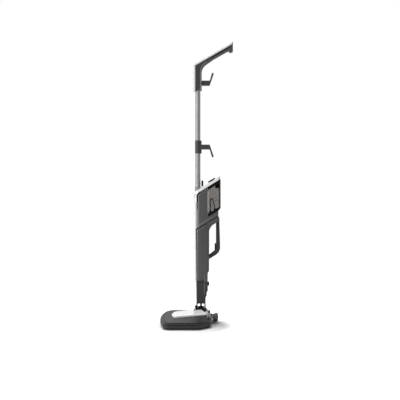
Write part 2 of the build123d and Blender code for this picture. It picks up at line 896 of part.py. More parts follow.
def neck_half(keep):
    """One half of the neck, cut on the middle plane."""
    with BuildPart() as half:
        with BuildSketch(Plane.XZ):
            Polygon(
                (neck_taper - neck_front, fork_top + seat_gap),
                (neck_ankle, fork_top + seat_gap),
                (neck_ankle, fork_top + ankle_top),
                (neck_waist, fork_top + waist_foot),
                (neck_waist, fork_top + waist_top),
                (neck_rear, fork_top + bulge_foot),
                (neck_rear, neck_top),
                (-neck_front, neck_top),
                align=None,
            )
        extrude(amount=neck_top_half_width, both=True)
        with BuildSketch(Plane.YZ):
            Polygon(
                (-neck_foot_half_width, fork_top),
                (neck_foot_half_width, fork_top),
                (neck_top_half_width, neck_top),
                (-neck_top_half_width, neck_top),
                align=None,
            )
        extrude(amount=2 * neck_rear, both=True, mode=Mode.INTERSECT)
        fillet([e for e in half.edges() if e.length > neck_length * long_edge], neck_rounding)
        with BuildSketch(Plane.XY.offset(neck_top)):
            with Locations(((spigot_rear - spigot_front) / 2, 0)):
                Rectangle(
                    spigot_front + spigot_rear + 2 * moving_gap, 2 * spigot_half_width + 2 * moving_gap
                )
        extrude(amount=-socket_depth, mode=Mode.SUBTRACT)
        with BuildSketch(Plane.XY.offset(fork_top)):
            Rectangle(2 * tenon_half_length + 2 * seat_gap, 2 * tenon_half_width + 2 * seat_gap)
        extrude(amount=tenon_height + seat_gap, mode=Mode.SUBTRACT)
        with Locations((0, 0, fork_top)):
            Cylinder(pipe_radius + seat_gap, 2 * neck_length, mode=Mode.SUBTRACT)
        with Locations((0, 0, socket_floor)):
            Cylinder(seal_radius + seat_gap, 2 * seal_height + 2 * seat_gap, mode=Mode.SUBTRACT)
        with BuildSketch(Plane.YZ.offset(release_pocket)):
            with Locations((0, release_z)):
                Rectangle(2 * release_half_width + 2 * moving_gap, release_height + 2 * moving_gap)
        extrude(amount=neck_rear, mode=Mode.SUBTRACT)
        split(bisect_by=Plane.XZ, keep=keep)
    return half


neck_shell_left = neck_half(Keep.TOP)
write(neck_shell_left, "neck_shell_left")
neck_shell_right = neck_half(Keep.BOTTOM)
write(neck_shell_right, "neck_shell_right")

# Rigid steam pipe from the seal down to the middle of the joint
with BuildPart() as steam_pipe:
    with BuildSketch(Plane.XY.offset(joint_height + pipe_lift)):
        Circle(pipe_radius)
        Circle(pipe_radius - pipe_wall, mode=Mode.SUBTRACT)
    extrude(amount=socket_floor - seal_height - seat_gap - joint_height - pipe_lift)
write(steam_pipe, "steam_pipe")

with BuildPart() as socket_seal:
    with BuildSketch(Plane.XY.offset(socket_floor - seal_height)):
        Circle(seal_radius)
        Circle(nozzle_radius + moving_gap, mode=Mode.SUBTRACT)
    extrude(amount=seal_height)
write(socket_seal, "socket_seal")

release_face = neck_rear + release_thickness - release_sink
with BuildPart() as head_release_button:
    with BuildSketch(Plane.YZ.offset(release_face - release_thickness)):
        with Locations((0, release_z)):
            Rectangle(2 * release_half_width, release_height)
    extrude(amount=release_thickness)
    fillet(head_release_button.faces().sort_by(Axis.X)[-1].edges(), button_rounding)
write(head_release_button, "head_release_button")

release_spring = coil_spring(
    Plane(origin=(release_pocket, 0, release_z), z_dir=(1, 0, 0)),
    release_face - release_thickness - release_pocket,
    light_coil,
    light_wire,
    release_turns,
)
write(release_spring, "release_spring")

# Hand unit

screw_bosses = [
    (foot_rear - boss_inset, body_foot + foot_boss_lift),
    (body_rear - boss_inset, body_foot + boiler_lift + boiler_length + boss_inset),
    (body_rear - boss_inset, body_foot + pump_lift + pump_length + boss_inset),
]
inner_front = body_front_foot + wall
inner_half_width = body_half_width - side_wall
gland_z = body_foot + gland_lift
shoulder_tip = seat_rear - tip_inset
shoulder_front = body_rear + seat_gap
arch_foot = (shoulder_front, shoulder_z - window_rise)
arch_top = (handle_inner_x - window_corner, shoulder_z - window_corner)
boiler_foot = body_foot + boiler_lift
pump_foot = body_foot + pump_lift


def body_half(keep):
    """One half of the lower body: a shell with ribs for boiler and pump, cut on the middle plane."""
    with BuildPart() as half:
        with BuildSketch(Plane.XY.offset(body_foot)):
            with Locations(((body_rear + body_front_seam) / 2, 0)):
                RectangleRounded(body_rear - body_front_seam, 2 * body_half_width, body_rounding)
        extrude(amount=2 * lower_body_length)
        with BuildSketch(Plane.XZ):
            Polygon(
                (body_front_foot, body_foot),
                (foot_rear, body_foot),
                (foot_rear, body_foot + foot_step),
                (body_rear, body_foot + foot_step + foot_chamfer),
                slanted(body_rear, seam_level),
                slanted(body_front_seam, seam_level),
                align=None,
            )
        extrude(amount=body_half_width, both=True, mode=Mode.INTERSECT)
        with BuildSketch(Plane.XZ):
            Polygon(
                (inner_front, body_foot + wall),
                (foot_rear - wall, body_foot + wall),
                (foot_rear - wall, body_foot + foot_step),
                (body_rear - wall, body_foot + foot_step + foot_chamfer + wall),
                slanted(body_rear - wall, seam_level + overlap),
                slanted(inner_front, seam_level + overlap),
                align=None,
            )
        extrude(amount=inner_half_width, both=True, mode=Mode.SUBTRACT)
        for centre, radius, height in (
            (boiler_x, boiler_radius, boiler_foot + rib_inset),
            (boiler_x, boiler_radius, boiler_foot + boiler_length - rib_inset),
            (pump_x, pump_radius, pump_foot + pump_length / 2),
        ):
            with BuildSketch(Plane.XY.offset(height)):
                with Locations(((body_rear - wall + inner_front) / 2, 0)):
                    Rectangle(body_rear - wall - inner_front + overlap, 2 * inner_half_width + overlap)
                with Locations((centre, 0)):
                    Circle(radius + seat_gap, mode=Mode.SUBTRACT)
            extrude(amount=rib_thickness)
        for x, z in screw_bosses:
            with BuildSketch(Plane.XZ):
                with Locations((x, z)):
                    Circle(boss_radius)
            extrude(amount=inner_half_width + overlap, both=True)
            with BuildSketch(Plane.XZ.offset(-body_half_width)):
                with Locations((x, z)):
                    Circle(body_screw_radius + seat_gap)
            extrude(
                amount=body_half_width + inner_half_width - body_screw_end + body_screw_room,
                mode=Mode.SUBTRACT,
            )
            with BuildSketch(Plane.XZ.offset(-body_half_width)):
                with Locations((x, z)):
                    Circle(body_screw_head + seat_gap)
            extrude(amount=body_screw_sink + body_screw_cap, mode=Mode.SUBTRACT)
        with BuildSketch(Plane.XY.offset(body_foot)):
            with Locations(((spigot_rear - spigot_front) / 2, 0)):
                Rectangle(
                    spigot_front + spigot_rear + 2 * seat_gap, 2 * spigot_half_width + 2 * seat_gap
                )
        extrude(amount=wall, mode=Mode.SUBTRACT)
        with BuildSketch(Plane.YZ.offset(body_rear - wall - overlap)):
            with Locations((0, gland_z)):
                Circle(gland_radius + seat_gap)
        extrude(amount=wall + 2 * overlap, mode=Mode.SUBTRACT)
        split(bisect_by=Plane.XZ, keep=keep)
    return half


body_shell_left = body_half(Keep.TOP)
write(body_shell_left, "body_shell_left")
body_shell_right = body_half(Keep.BOTTOM)
write(body_shell_right, "body_shell_right")

with BuildPart() as rear_shoulder:
    with BuildSketch(Plane.XZ):
        with BuildLine():
            Polyline(
                arch_foot,
                slanted(shoulder_front, seam_level),
                slanted(shoulder_tip, seam_level),
                (shoulder_rear - shoulder_lean, shoulder_z + shoulder_drop - shoulder_step),
                (shoulder_rear, shoulder_z),
                (handle_inner_x, shoulder_z),
                arch_top,
            )
            SagittaArc(arch_top, arch_foot, -window_bulge)
        make_face()
    extrude(amount=body_half_width, both=True)
    with BuildSketch(Plane.XZ):
        Polygon(
            slanted(shoulder_front + wall, seam_level + overlap),
            slanted(shoulder_tip - wall, seam_level + overlap),
            (shoulder_tip - wall, shoulder_z + 2 * wall),
            (arch_top[0], shoulder_z + wall),
            (shoulder_front + wall, shoulder_z - window_rise / 2),
            align=None,
        )
    extrude(amount=body_half_width - wall, both=True, mode=Mode.SUBTRACT)
write(rear_shoulder, "rear_shoulder")

with BuildPart() as body_screws:
    for x, z in screw_bosses:
        with BuildSketch(Plane.XZ.offset(-body_half_width + body_screw_sink)):
            with Locations((x, z)):
                Circle(body_screw_head)
        extrude(amount=body_screw_cap)
        with BuildSketch(Plane.XZ.offset(-body_half_width + body_screw_sink + body_screw_cap)):
            with Locations((x, z)):
                Circle(body_screw_radius)
        extrude(
            amount=body_half_width + inner_half_width - body_screw_end - body_screw_sink - body_screw_cap
        )
write(body_screws, "body_screws")

# Inlet of the mains cord, flush with the back of the body
with BuildPart() as cord_gland:
    with BuildSketch(Plane.YZ.offset(body_rear - wall - gland_flange)):
        with Locations((0, gland_z)):
            Circle(gland_radius)
            Circle(cord_radius, mode=Mode.SUBTRACT)
    extrude(amount=wall + gland_flange)
write(cord_gland, "cord_gland")

# Tenon that plugs into the neck, with a flange inside the body
with BuildPart() as body_spigot:
    with BuildSketch(Plane.XY.offset(body_foot + wall)):
        with Locations(((spigot_rear - spigot_front) / 2, 0)):
            Rectangle(
                spigot_front + spigot_rear + 2 * spigot_flange, 2 * spigot_half_width + 2 * spigot_flange
            )
    extrude(amount=wall)
    with BuildSketch(Plane.XY.offset(socket_floor + moving_gap)):
        with Locations(((spigot_rear - spigot_front) / 2, 0)):
            Rectangle(spigot_front + spigot_rear, 2 * spigot_half_width)
    extrude(amount=body_foot + wall - socket_floor - moving_gap)
    with BuildSketch(Plane.XY.offset(socket_floor + moving_gap + wall)):
        with Locations(((spigot_rear - spigot_front) / 2, 0)):
            Rectangle(spigot_front + spigot_rear - 2 * wall, 2 * spigot_half_width - 2 * wall)
    extrude(amount=socket_depth + cut_margin, mode=Mode.SUBTRACT)
    with Locations((0, 0, socket_floor)):
        Cylinder(nozzle_radius + seat_gap, cut_margin, mode=Mode.SUBTRACT)
write(body_spigot, "body_spigot")

with BuildPart() as steam_nozzle:
    with BuildSketch(Plane.XY.offset(socket_floor - seal_height + nozzle_gap)):
        Circle(nozzle_radius)
        Circle(nozzle_radius - pipe_wall, mode=Mode.SUBTRACT)
    extrude(amount=boiler_foot - socket_floor + seal_height - nozzle_gap)
write(steam_nozzle, "steam_nozzle")

with BuildPart() as boiler:
    with BuildSketch(Plane.XY.offset(boiler_foot)):
        with Locations((boiler_x, 0)):
            Circle(boiler_radius)
    extrude(amount=boiler_length)
    fillet(boiler.edges().filter_by(GeomType.CIRCLE), boiler_rounding)
write(boiler, "boiler")

with BuildPart() as pump:
    with BuildSketch(Plane.XY.offset(pump_foot)):
        with Locations((pump_x, 0)):
            Circle(pump_radius)
    extrude(amount=pump_length)
    chamfer(pump.edges().filter_by(GeomType.CIRCLE), pump_chamfer)
write(pump, "pump")

# Carry handle: a loop behind the body, hollowed for the trigger and its switch
handle_outer_x = handle_inner_x + handle_bar + handle_bulge
trigger_face = handle_inner_x - trigger_proud
trigger_back = trigger_face + trigger_depth
pocket_back = trigger_back + trigger_travel + trigger_rest
trigger_top = trigger_z + trigger_height
with BuildPart() as carry_handle:
    with BuildSketch(Plane.XZ):
        Polygon(
            (body_rear, handle_low_z),
            (handle_inner_x, handle_low_z + handle_arm),
            (handle_outer_x - handle_corner, handle_low_z + handle_heel),
            (handle_outer_x, handle_low_z + handle_elbow),
            (handle_outer_x, handle_low_z + handle_straight),
            (shoulder_rear, shoulder_z),
            (handle_inner_x, shoulder_z),
            (handle_inner_x, handle_low_z + handle_palm),
            (handle_inner_x - handle_corner, handle_low_z + handle_palm - palm_step),
            (body_rear, handle_low_z + handle_arm),
            align=None,
        )
    extrude(amount=handle_half_width, both=True)
    bends = [
        e
        for e in carry_handle.edges().filter_by(Axis.Y)
        if e.center().X > body_rear + overlap and handle_low_z < e.center().Z < shoulder_z - overlap
    ]
    fillet(bends, handle_bend)
    side_edges = [
        e
        for e in carry_handle.edges()
        if abs(abs(e.center().Y) - handle_half_width) < touch
        and e.center().X > body_rear + touch
        and e.center().Z < shoulder_z - touch
    ]
    fillet(side_edges, handle_rounding)
    with Locations(((trigger_face + pocket_back) / 2, 0, trigger_z + trigger_height / 2)):
        Box(
            pocket_back - trigger_face,
            2 * trigger_half_width + 2 * moving_gap,
            trigger_height + 2 * moving_gap,
            mode=Mode.SUBTRACT,
        )
    with Locations((pocket_back - switch_depth / 2, 0, trigger_top + switch_height / 2)):
        Box(
            switch_depth,
            switch_width + 2 * seat_gap,
            switch_height + 2 * switch_room,
            mode=Mode.SUBTRACT,
        )
write(carry_handle, "carry_handle")

with BuildPart() as trigger:
    with Locations(((trigger_face + trigger_back) / 2, 0, trigger_z + trigger_height / 2)):
        Box(trigger_depth, 2 * trigger_half_width, trigger_height)
    fillet(trigger.edges().group_by(Axis.X)[0], button_rounding)
write(trigger, "trigger")

trigger_spring = coil_spring(
    Plane(origin=(trigger_back, 0, trigger_z + trigger_height / 2), z_dir=(1, 0, 0)),
    pocket_back - trigger_back,
    light_coil,
    light_wire,
    trigger_turns,
)
write(trigger_spring, "trigger_spring")

with BuildPart() as micro_switch:
    with Locations((pocket_back - switch_depth / 2, 0, trigger_top + switch_gap + switch_height / 2)):
        Box(switch_depth - 2 * seat_gap, switch_width, switch_height)
write(micro_switch, "micro_switch")


def housing_profile():
    """Side outline of the upper housing and tank seat, in the plane of the sketch."""
    with BuildSketch() as profile:
        Polygon(
            slanted(housing_front, seam_level + seat_gap),
            slanted(seat_rear, seam_level + seat_gap),
            slanted(seat_rear, tank_floor_level),
            slanted(bay_front, tank_floor_level),
            slanted(bay_front, deck_level),
            slanted(housing_front, deck_level),
            align=None,
        )
        fillet(profile.vertices().group_by(Axis.X)[0].sort_by(Axis.Y)[-1], housing_top_rounding)
    return profile.sketch


def spine_section():
    """Channel section of the white spine, open to the back."""
    with BuildSketch() as section:
        with BuildLine():
            ThreePointArc(
                (cover_nose + spine_bow, spine_half_width),
                (cover_nose, 0),
                (cover_nose + spine_bow, -spine_half_width),
            )
            Polyline(
                (cover_nose + spine_bow, -spine_half_width),
                (housing_front, -spine_half_width),
                (housing_front, spine_half_width),
                (cover_nose + spine_bow, spine_half_width),
            )
        make_face()
        with BuildLine():
            ThreePointArc(
                (cover_nose + spine_bow, spine_half_width - wall),
                (cover_nose + wall, 0),
                (cover_nose + spine_bow, wall - spine_half_width),
            )
            Polyline(
                (cover_nose + spine_bow, wall - spine_half_width),
                (housing_front + cut_margin, wall - spine_half_width),
                (housing_front + cut_margin, spine_half_width - wall),
                (cover_nose + spine_bow, spine_half_width - wall),
            )
        make_face(mode=Mode.SUBTRACT)
    return section.sketch


# Housing above the seam, open underneath, with the seat and the bay for the tank
rise = wall / cos(radians(body_slope))
tube_top_z = deck_level + cover_band + tube_x * slope
socket_radius = tube_radius + tube_clearance + socket_wall
socket_foot = tube_top_z - socket_length
valve_z = tank_floor_level + bay_front * slope + valve_rise
valve_plane = Plane(origin=(bay_front - wall / 2, 0, valve_z), z_dir=slope_run)
board_foot = valve_z + board_lift
post_x = bay_front - wall
with BuildPart() as upper_housing:
    with BuildSketch(Plane.XZ):
        add(housing_profile())
    extrude(amount=upper_half_width, both=True)
    fillet(upper_housing.edges().filter_by(Axis.Z).group_by(Axis.X)[0], housing_rounding)
    with BuildSketch(Plane.XZ):
        with BuildLine():
            Polyline(
                slanted(housing_front + wall, seam_level + rise),
                slanted(seat_rear - wall, seam_level + rise),
                slanted(seat_rear - wall, tank_floor_level - rise),
                slanted(bay_front - wall, tank_floor_level - rise),
                slanted(bay_front - wall, deck_level - rise),
            )
            FilletPolyline(
                slanted(bay_front - wall, deck_level - rise),
                slanted(housing_front + wall, deck_level - rise),
                slanted(housing_front + wall, seam_level + rise),
                radius=housing_top_rounding - wall,
            )
        make_face()
    extrude(amount=upper_half_width - housing_wall, both=True, mode=Mode.SUBTRACT)
    with BuildSketch(Plane.XY.offset(seam_level + body_front_seam * slope)):
        with Locations((pump_x, 0)):
            Rectangle(hatch_length, hatch_width)
    extrude(amount=seat_height + body_rear * slope, mode=Mode.SUBTRACT)
    with BuildSketch(Plane.XY.offset(socket_foot - rib_thickness)):
        with Locations(((housing_front + tube_x + shelf_reach) / 2, 0)):
            Rectangle(
                tube_x + shelf_reach - housing_front - overlap, 2 * (upper_half_width - wall) - overlap
            )
    extrude(amount=rib_thickness)
    with BuildSketch(Plane.XY.offset(socket_foot)):
        with Locations((tube_x, 0)):
            Circle(socket_radius + seat_gap)
    extrude(amount=socket_length + cut_margin, mode=Mode.SUBTRACT)
    with BuildSketch(valve_plane):
        Circle(valve_seat_radius + seat_gap)
    extrude(amount=valve_seat_length, both=True, mode=Mode.SUBTRACT)
    with BuildSketch(Plane.YZ.offset(post_x)):
        with Locations((0, board_foot + board_height / 2)):
            with GridLocations(board_half_width, board_height - 2 * board_margin, 2, 2):
                Circle(post_radius)
    extrude(amount=-post_height)
write(upper_housing, "upper_housing")

with BuildPart() as control_board:
    with BuildSketch(Plane.YZ.offset(post_x - post_height)):
        with Locations((0, board_foot + board_height / 2)):
            Rectangle(2 * board_half_width, board_height)
    extrude(amount=-board_thickness)
    with BuildSketch(Plane.YZ.offset(post_x - post_height - board_thickness)):
        with Locations((0, board_foot + board_height / 2)):
            with GridLocations(chip_columns, chip_rows, 2, 2):
                Rectangle(chip_width, chip_height)
    extrude(amount=-chip_depth)
write(control_board, "control_board")

with BuildPart() as valve_seat:
    with BuildSketch(valve_plane):
        Circle(valve_seat_radius)
        Circle(valve_radius + moving_gap, mode=Mode.SUBTRACT)
    extrude(amount=valve_seat_length / 2, both=True)
    split(bisect_by=Plane.YZ.offset(bay_front), keep=Keep.BOTTOM)
write(valve_seat, "valve_seat")

# Hose from the valve seat down to the pump
seat_end = (
    bay_front - wall / 2 - valve_seat_length / 2 * cos(radians(body_slope)),
    valve_z - valve_seat_length / 2 * sin(radians(body_slope)),
)
with BuildPart() as water_hose:
    with BuildLine(Plane.XZ) as hose_path:
        FilletPolyline(
            (pump_x, pump_foot + pump_length),
            (pump_x, seat_end[1] + (pump_x - seat_end[0]) * slope),
            seat_end,
            radius=hose_bend,
        )
    with BuildSketch(Plane.XY.offset(pump_foot + pump_length)):
        with Locations((pump_x, 0)):
            Circle(valve_radius)
    sweep(path=hose_path.line)
write(water_hose, "water_hose")

# White strip down the front
skirt_foot = deck_level + housing_front * slope - spine_overlap
with BuildPart() as front_spine:
    with BuildSketch(Plane.XY.offset(body_foot)):
        add(spine_section())
    extrude(amount=skirt_foot - seat_gap - body_foot)
    with BuildSketch(Plane.XZ):
        Polygon(
            (cover_nose - overlap, body_foot),
            (body_front_foot - seat_gap, body_foot),
            (body_front_seam - seat_gap, seam_level + body_front_seam * slope),
            (housing_front - seat_gap, seam_level + body_front_seam * slope + spine_step),
            (housing_front - seat_gap, deck_level),
            (cover_nose - overlap, deck_level),
            align=None,
        )
    extrude(amount=spine_half_width + overlap, both=True, mode=Mode.INTERSECT)
write(front_spine, "front_spine")

# White top cover: slanted slab, skirt over the spine, and the stand of the tube's release button
tube_rear = tube_x + tube_radius
stand_front = tube_rear + stand_gap
button_foot = tube_top_z + socket_collar + button_lift
button_pocket_front = button_front - pocket_step
button_foot_x = button_pocket_front + button_spring_length
latch_s = latch_x / cos(radians(body_slope))
latch_spring_length = latch_travel + latch_spring_rest
with BuildPart() as top_cover:
    with BuildSketch(Plane.XZ):
        Polygon(
            slanted(cover_nose - cover_overhang, deck_level + seat_gap),
            slanted(cover_tail, deck_level + seat_gap),
            slanted(cover_tail, deck_level + cover_band),
            slanted(cover_nose - cover_overhang, deck_level + cover_band),
            align=None,
        )
        Polygon(
            (housing_front - cover_lip, skirt_foot),
            slanted(housing_front - cover_lip, deck_level + overlap),
            slanted(housing_front + spine_overlap, deck_level + overlap),
            (housing_front + spine_overlap, skirt_foot),
            align=None,
        )
        add(housing_profile(), mode=Mode.SUBTRACT)
    extrude(amount=top_half_width, both=True)
    with BuildSketch(Plane.XY.offset(skirt_foot)):
        top_front = cover_nose - cover_overhang
        add(head_outline(top_front, top_bow, top_half_width, cover_tail, top_cut, top_corner, top_bend))
    extrude(amount=bay_height, mode=Mode.INTERSECT)
    with BuildSketch(Plane.XY.offset(skirt_foot)):
        add(spine_section())
    extrude(amount=deck_level + housing_front * slope + skirt_lap - skirt_foot)
    with BuildSketch(Plane.XZ):
        Polygon(
            slanted(stand_front, deck_level + cover_band / 2),
            (stand_front, button_foot + button_height + stand_margin),
            (stand_front + stand_wall, button_foot + button_height + stand_margin),
            (stand_front + stand_wall, button_foot - moving_gap),
            (button_rear + stand_margin, button_foot - moving_gap),
            slanted(button_rear + stand_margin, deck_level + cover_band / 2),
            align=None,
        )
    extrude(amount=button_half_width + stand_cheek, both=True)
    with BuildSketch(Plane.XY.offset(skirt_foot - cut_margin)):
        with Locations((tube_x, 0)):
            Circle(socket_radius + seat_gap)
    extrude(amount=tube_top_z + socket_collar + seat_gap - skirt_foot + cut_margin, mode=Mode.SUBTRACT)
    with BuildSketch(Plane.XY.offset(button_foot - moving_gap)):
        with Locations(((button_pocket_front + button_rear - pocket_margin) / 2, 0)):
            Rectangle(button_rear - pocket_margin - button_pocket_front, button_tongue + 2 * moving_gap)
    extrude(amount=-tongue_pocket, mode=Mode.SUBTRACT)
    with BuildSketch(top_plane):
        with Locations((latch_s + (latch_spring_length - moving_gap) / 2, 0)):
            Rectangle(
                2 * latch_foot_half + latch_spring_length + moving_gap, latch_tongue + 2 * moving_gap
            )
    extrude(amount=-tongue_pocket, mode=Mode.SUBTRACT)
write(top_cover, "top_cover")

with BuildPart() as tube_socket:
    with BuildSketch(Plane.XY.offset(socket_foot)):
        with Locations((tube_x, 0)):
            Circle(socket_radius)
    extrude(amount=socket_length + socket_collar)
    with BuildSketch(Plane.XY.offset(socket_foot + socket_base)):
        with Locations((tube_x, 0)):
            Circle(tube_radius + tube_clearance)
    extrude(amount=socket_length + socket_collar, mode=Mode.SUBTRACT)
write(tube_socket, "tube_socket")

with BuildPart() as tube_release_button:
    with Locations(((button_front + button_rear) / 2, 0, button_foot + button_height / 2)):
        Box(button_rear - button_front, 2 * button_half_width, button_height)
    fillet(tube_release_button.edges().group_by(Axis.X)[-1], button_rounding)
    with BuildSketch(Plane.XY.offset(button_foot)):
        with Locations((button_foot_x + tongue_thickness / 2, 0)):
            Rectangle(tongue_thickness, button_tongue)
    extrude(amount=-tongue_depth)
write(tube_release_button, "tube_release_button")

button_spring = coil_spring(
    Plane(origin=(button_pocket_front, 0, button_foot - moving_gap - tongue_pocket / 2), z_dir=(1, 0, 0)),
    button_foot_x - button_pocket_front,
    button_coil,
    button_wire,
    button_turns,
)
write(button_spring, "button_spring")

with BuildPart() as tank_latch:
    with BuildSketch(top_plane.offset(moving_gap)):
        with Locations((latch_s, 0)):
            RectangleRounded(latch_length, 2 * latch_half_width, latch_corner)
    extrude(amount=latch_thickness)
    fillet(tank_latch.faces().sort_by(Axis.Z)[-1].edges(), latch_rounding)
    with BuildSketch(top_plane.offset(moving_gap)):
        with Locations((latch_s, 0)):
            Rectangle(2 * latch_foot_half, latch_tongue)
    extrude(amount=-latch_tongue_depth)
write(tank_latch, "tank_latch")

latch_spring = coil_spring(
    Plane(
        origin=top_plane.from_local_coords((latch_s + latch_foot_half, 0, -tongue_pocket / 2)),
        z_dir=slope_run,
    ),
    latch_spring_length - moving_gap,
    latch_coil,
    latch_wire,
    latch_turns,
)
write(latch_spring, "latch_spring")

# Tank, which slides out along the slant of its seat
tank_front = bay_front + moving_gap
tank_floor = tank_floor_level + moving_gap
tank_rise = tank_wall / cos(radians(body_slope))
with BuildPart() as tank_shell:
    with BuildSketch(Plane.XZ):
        Polygon(
            slanted(tank_front, tank_floor),
            slanted(tank_rear, tank_floor),
            slanted(tank_rear, lid_level),
            slanted(tank_front, lid_level),
            align=None,
        )
    extrude(amount=tank_half_width, both=True)
    fillet(tank_shell.edges().filter_by(Axis.Z), tank_corner)
    with BuildSketch(Plane.XZ):
        Polygon(
            slanted(tank_front + tank_wall, tank_floor + tank_rise),
            slanted(tank_rear - tank_wall, tank_floor + tank_rise),
            slanted(tank_rear - tank_wall, lid_level + cut_margin),
            slanted(tank_front + tank_wall, lid_level + cut_margin),
            align=None,
        )
    extrude(amount=tank_half_width - tank_wall, both=True, mode=Mode.SUBTRACT)
    with BuildSketch(valve_plane):
        Circle(valve_radius + seat_gap)
    extrude(amount=outlet_reach + 2 * tank_wall, both=True, mode=Mode.SUBTRACT)
    with BuildSketch(Plane.YZ.offset(tank_rear - 2 * tank_wall)):
        with Locations((0, plug_z)):
            Circle(plug_radius + moving_gap)
    extrude(amount=cut_margin, mode=Mode.SUBTRACT)
write(tank_shell, "tank_shell")

with BuildPart() as tank_lid:
    with BuildSketch(Plane.XZ):
        Polygon(
            slanted(tank_front, lid_level + seat_gap),
            slanted(tank_rear, lid_level + seat_gap),
            slanted(tank_rear, deck_level - moving_gap),
            slanted(tank_front, deck_level - moving_gap),
            align=None,
        )
    extrude(amount=tank_half_width, both=True)
    fillet(tank_lid.edges().filter_by(Axis.Z), tank_corner)
    with BuildSketch(Plane.XZ):
        Polygon(
            slanted(tank_front + tank_wall, lid_level - cut_margin),
            slanted(tank_rear - tank_wall, lid_level - cut_margin),
            slanted(tank_rear - tank_wall, deck_level - moving_gap - tank_rise),
            slanted(tank_front + tank_wall, deck_level - moving_gap - tank_rise),
            align=None,
        )
    extrude(amount=tank_half_width - tank_wall, both=True, mode=Mode.SUBTRACT)
write(tank_lid, "tank_lid")

back_front = tank_rear + seat_gap
back_rear = tank_rear + tank_back_thickness
with BuildPart() as tank_back:
    with BuildSketch(Plane.XZ):
        Polygon(
            slanted(back_front, tank_floor + back_lift),
            slanted(back_rear, tank_floor + back_lift + back_chamfer),
            slanted(back_rear, deck_level - moving_gap),
            slanted(back_front, deck_level - moving_gap),
            align=None,
        )
    extrude(amount=tank_half_width, both=True)
    fillet(tank_back.edges().filter_by(Axis.Y).sort_by(Axis.Z)[-1], back_rounding)
    with BuildSketch(Plane.YZ.offset(back_front)):
        with Locations((0, plug_z)):
            Circle(plug_radius + moving_gap)
    extrude(amount=cut_margin, mode=Mode.SUBTRACT)
    with BuildSketch(Plane.YZ.offset(back_rear - plug_rim - moving_gap)):
        with Locations((0, plug_z)):
            Circle(plug_flange + moving_gap)
    extrude(amount=cut_margin, mode=Mode.SUBTRACT)
write(tank_back, "tank_back")

with BuildPart() as tank_plug:
    with BuildSketch(Plane.YZ.offset(back_rear - plug_rim)):
        with Locations((0, plug_z)):
            Circle(plug_flange)
    extrude(amount=plug_rim)
    with BuildSketch(Plane.YZ.offset(back_rear - plug_length)):
        with Locations((0, plug_z)):
            Circle(plug_radius)
    extrude(amount=plug_length - plug_rim)
write(tank_plug, "tank_plug")

with BuildPart() as tank_outlet:
    with BuildSketch(valve_plane):
        Circle(valve_radius)
        Circle(valve_radius - pipe_wall, mode=Mode.SUBTRACT)
    extrude(amount=outlet_reach, both=True)
write(tank_outlet, "tank_outlet")

# Two fittings on the tank's floor and the hose loop between them
barb_x = (tank_front + front_barb_inset, tank_rear - rear_barb_inset)
barb_tops = [slanted(x, tank_floor + tank_rise + barb_height) for x in barb_x]
floor_plane = Plane(
    origin=(0, 0, tank_floor + tank_rise + seat_gap / 2), x_dir=slope_run, z_dir=slope_normal
)
with BuildPart() as hose_barbs:
    for x, top in barb_tops:
        with BuildSketch(Plane.XY.offset(top - 2 * barb_height)):
            with Locations((x, 0)):
                Circle(barb_radius)
        extrude(amount=2 * barb_height)
    split(bisect_by=floor_plane, keep=Keep.TOP)
write(hose_barbs, "hose_barbs")

loop_top = barb_tops[0][1] + loop_height
with BuildPart() as hose_loop:
    with BuildLine(Plane.XZ) as loop_path:
        FilletPolyline(
            barb_tops[0],
            (barb_x[0], loop_top),
            (barb_x[0] + loop_step, loop_top + loop_crest),
            (barb_x[1], barb_tops[1][1] + loop_seat),
            radius=loop_bend,
        )
    with BuildSketch(Plane.XY.offset(barb_tops[0][1])):
        with Locations((barb_x[0], 0)):
            Circle(hose_radius)
    sweep(path=loop_path.line)
write(hose_loop, "hose_loop")

# Tube with its lower hook

with BuildPart() as tube:
    with BuildSketch(Plane.XY.offset(socket_foot + socket_base + moving_gap)):
        with Locations((tube_x, 0)):
            Circle(tube_radius)
            Circle(tube_radius - tube_wall, mode=Mode.SUBTRACT)
    extrude(amount=handle_foot - socket_foot - socket_base - moving_gap)
write(tube, "tube")

sleeve_foot = tube_top_z + sleeve_lift
sleeve_rear = tube_rear + sleeve_web


def hook_profile(root, axis_z, sense):
    """Side outline of a cord hook: a bar with a leaning arm, upwards or downwards by its sense."""
    half = hook_bar_height / 2
    arm_end = hook_bar_end + hook_arm_lean
    points = (
        (root, -half),
        (hook_bar_end, -half),
        (arm_end + hook_arm_thickness / 2, half + hook_arm_rise),
        (arm_end - hook_arm_thickness / 2, half + hook_arm_rise + hook_tip),
        (hook_bar_end, half),
        (root, half),
    )
    with BuildSketch() as profile:
        Polygon(*[(x, axis_z + sense * z) for x, z in points], align=None)
    return profile.sketch


# Sleeve on the tube with the lower hook
with BuildPart() as lower_hook:
    with BuildSketch(Plane.XZ):
        add(hook_profile(sleeve_rear - overlap, sleeve_foot + sleeve_height / 2, -1))
    extrude(amount=hook_half_width, both=True)
    fillet(lower_hook.edges().filter_by(Axis.Y).group_by(Axis.X)[-1], hook_rounding)
    with BuildSketch(Plane.XY.offset(sleeve_foot)):
        with Locations((tube_x + sleeve_shift, 0)):
            Circle(sleeve_radius)
        with Locations(((tube_x + sleeve_rear) / 2, 0)):
            Rectangle(sleeve_rear - tube_x, 2 * hook_half_width)
        with Locations((tube_x, 0)):
            Circle(tube_radius + seat_gap, mode=Mode.SUBTRACT)
    extrude(amount=sleeve_height)
write(lower_hook, "lower_hook")

# Top handle


def bend_point(stem_x, depth):
    """Elbow of a line up the stem at stem_x that runs on along the grip at a depth under its cover."""
    return (stem_x, elbow_z + (stem_x - stem_line) * grip_slope - depth / cos(radians(grip_angle)))


def grip_tip(depth):
    """End of the grip at a depth under its cover."""
    return (grip_end, elbow_z + (grip_end - stem_line) * grip_slope - depth / cos(radians(grip_angle)))


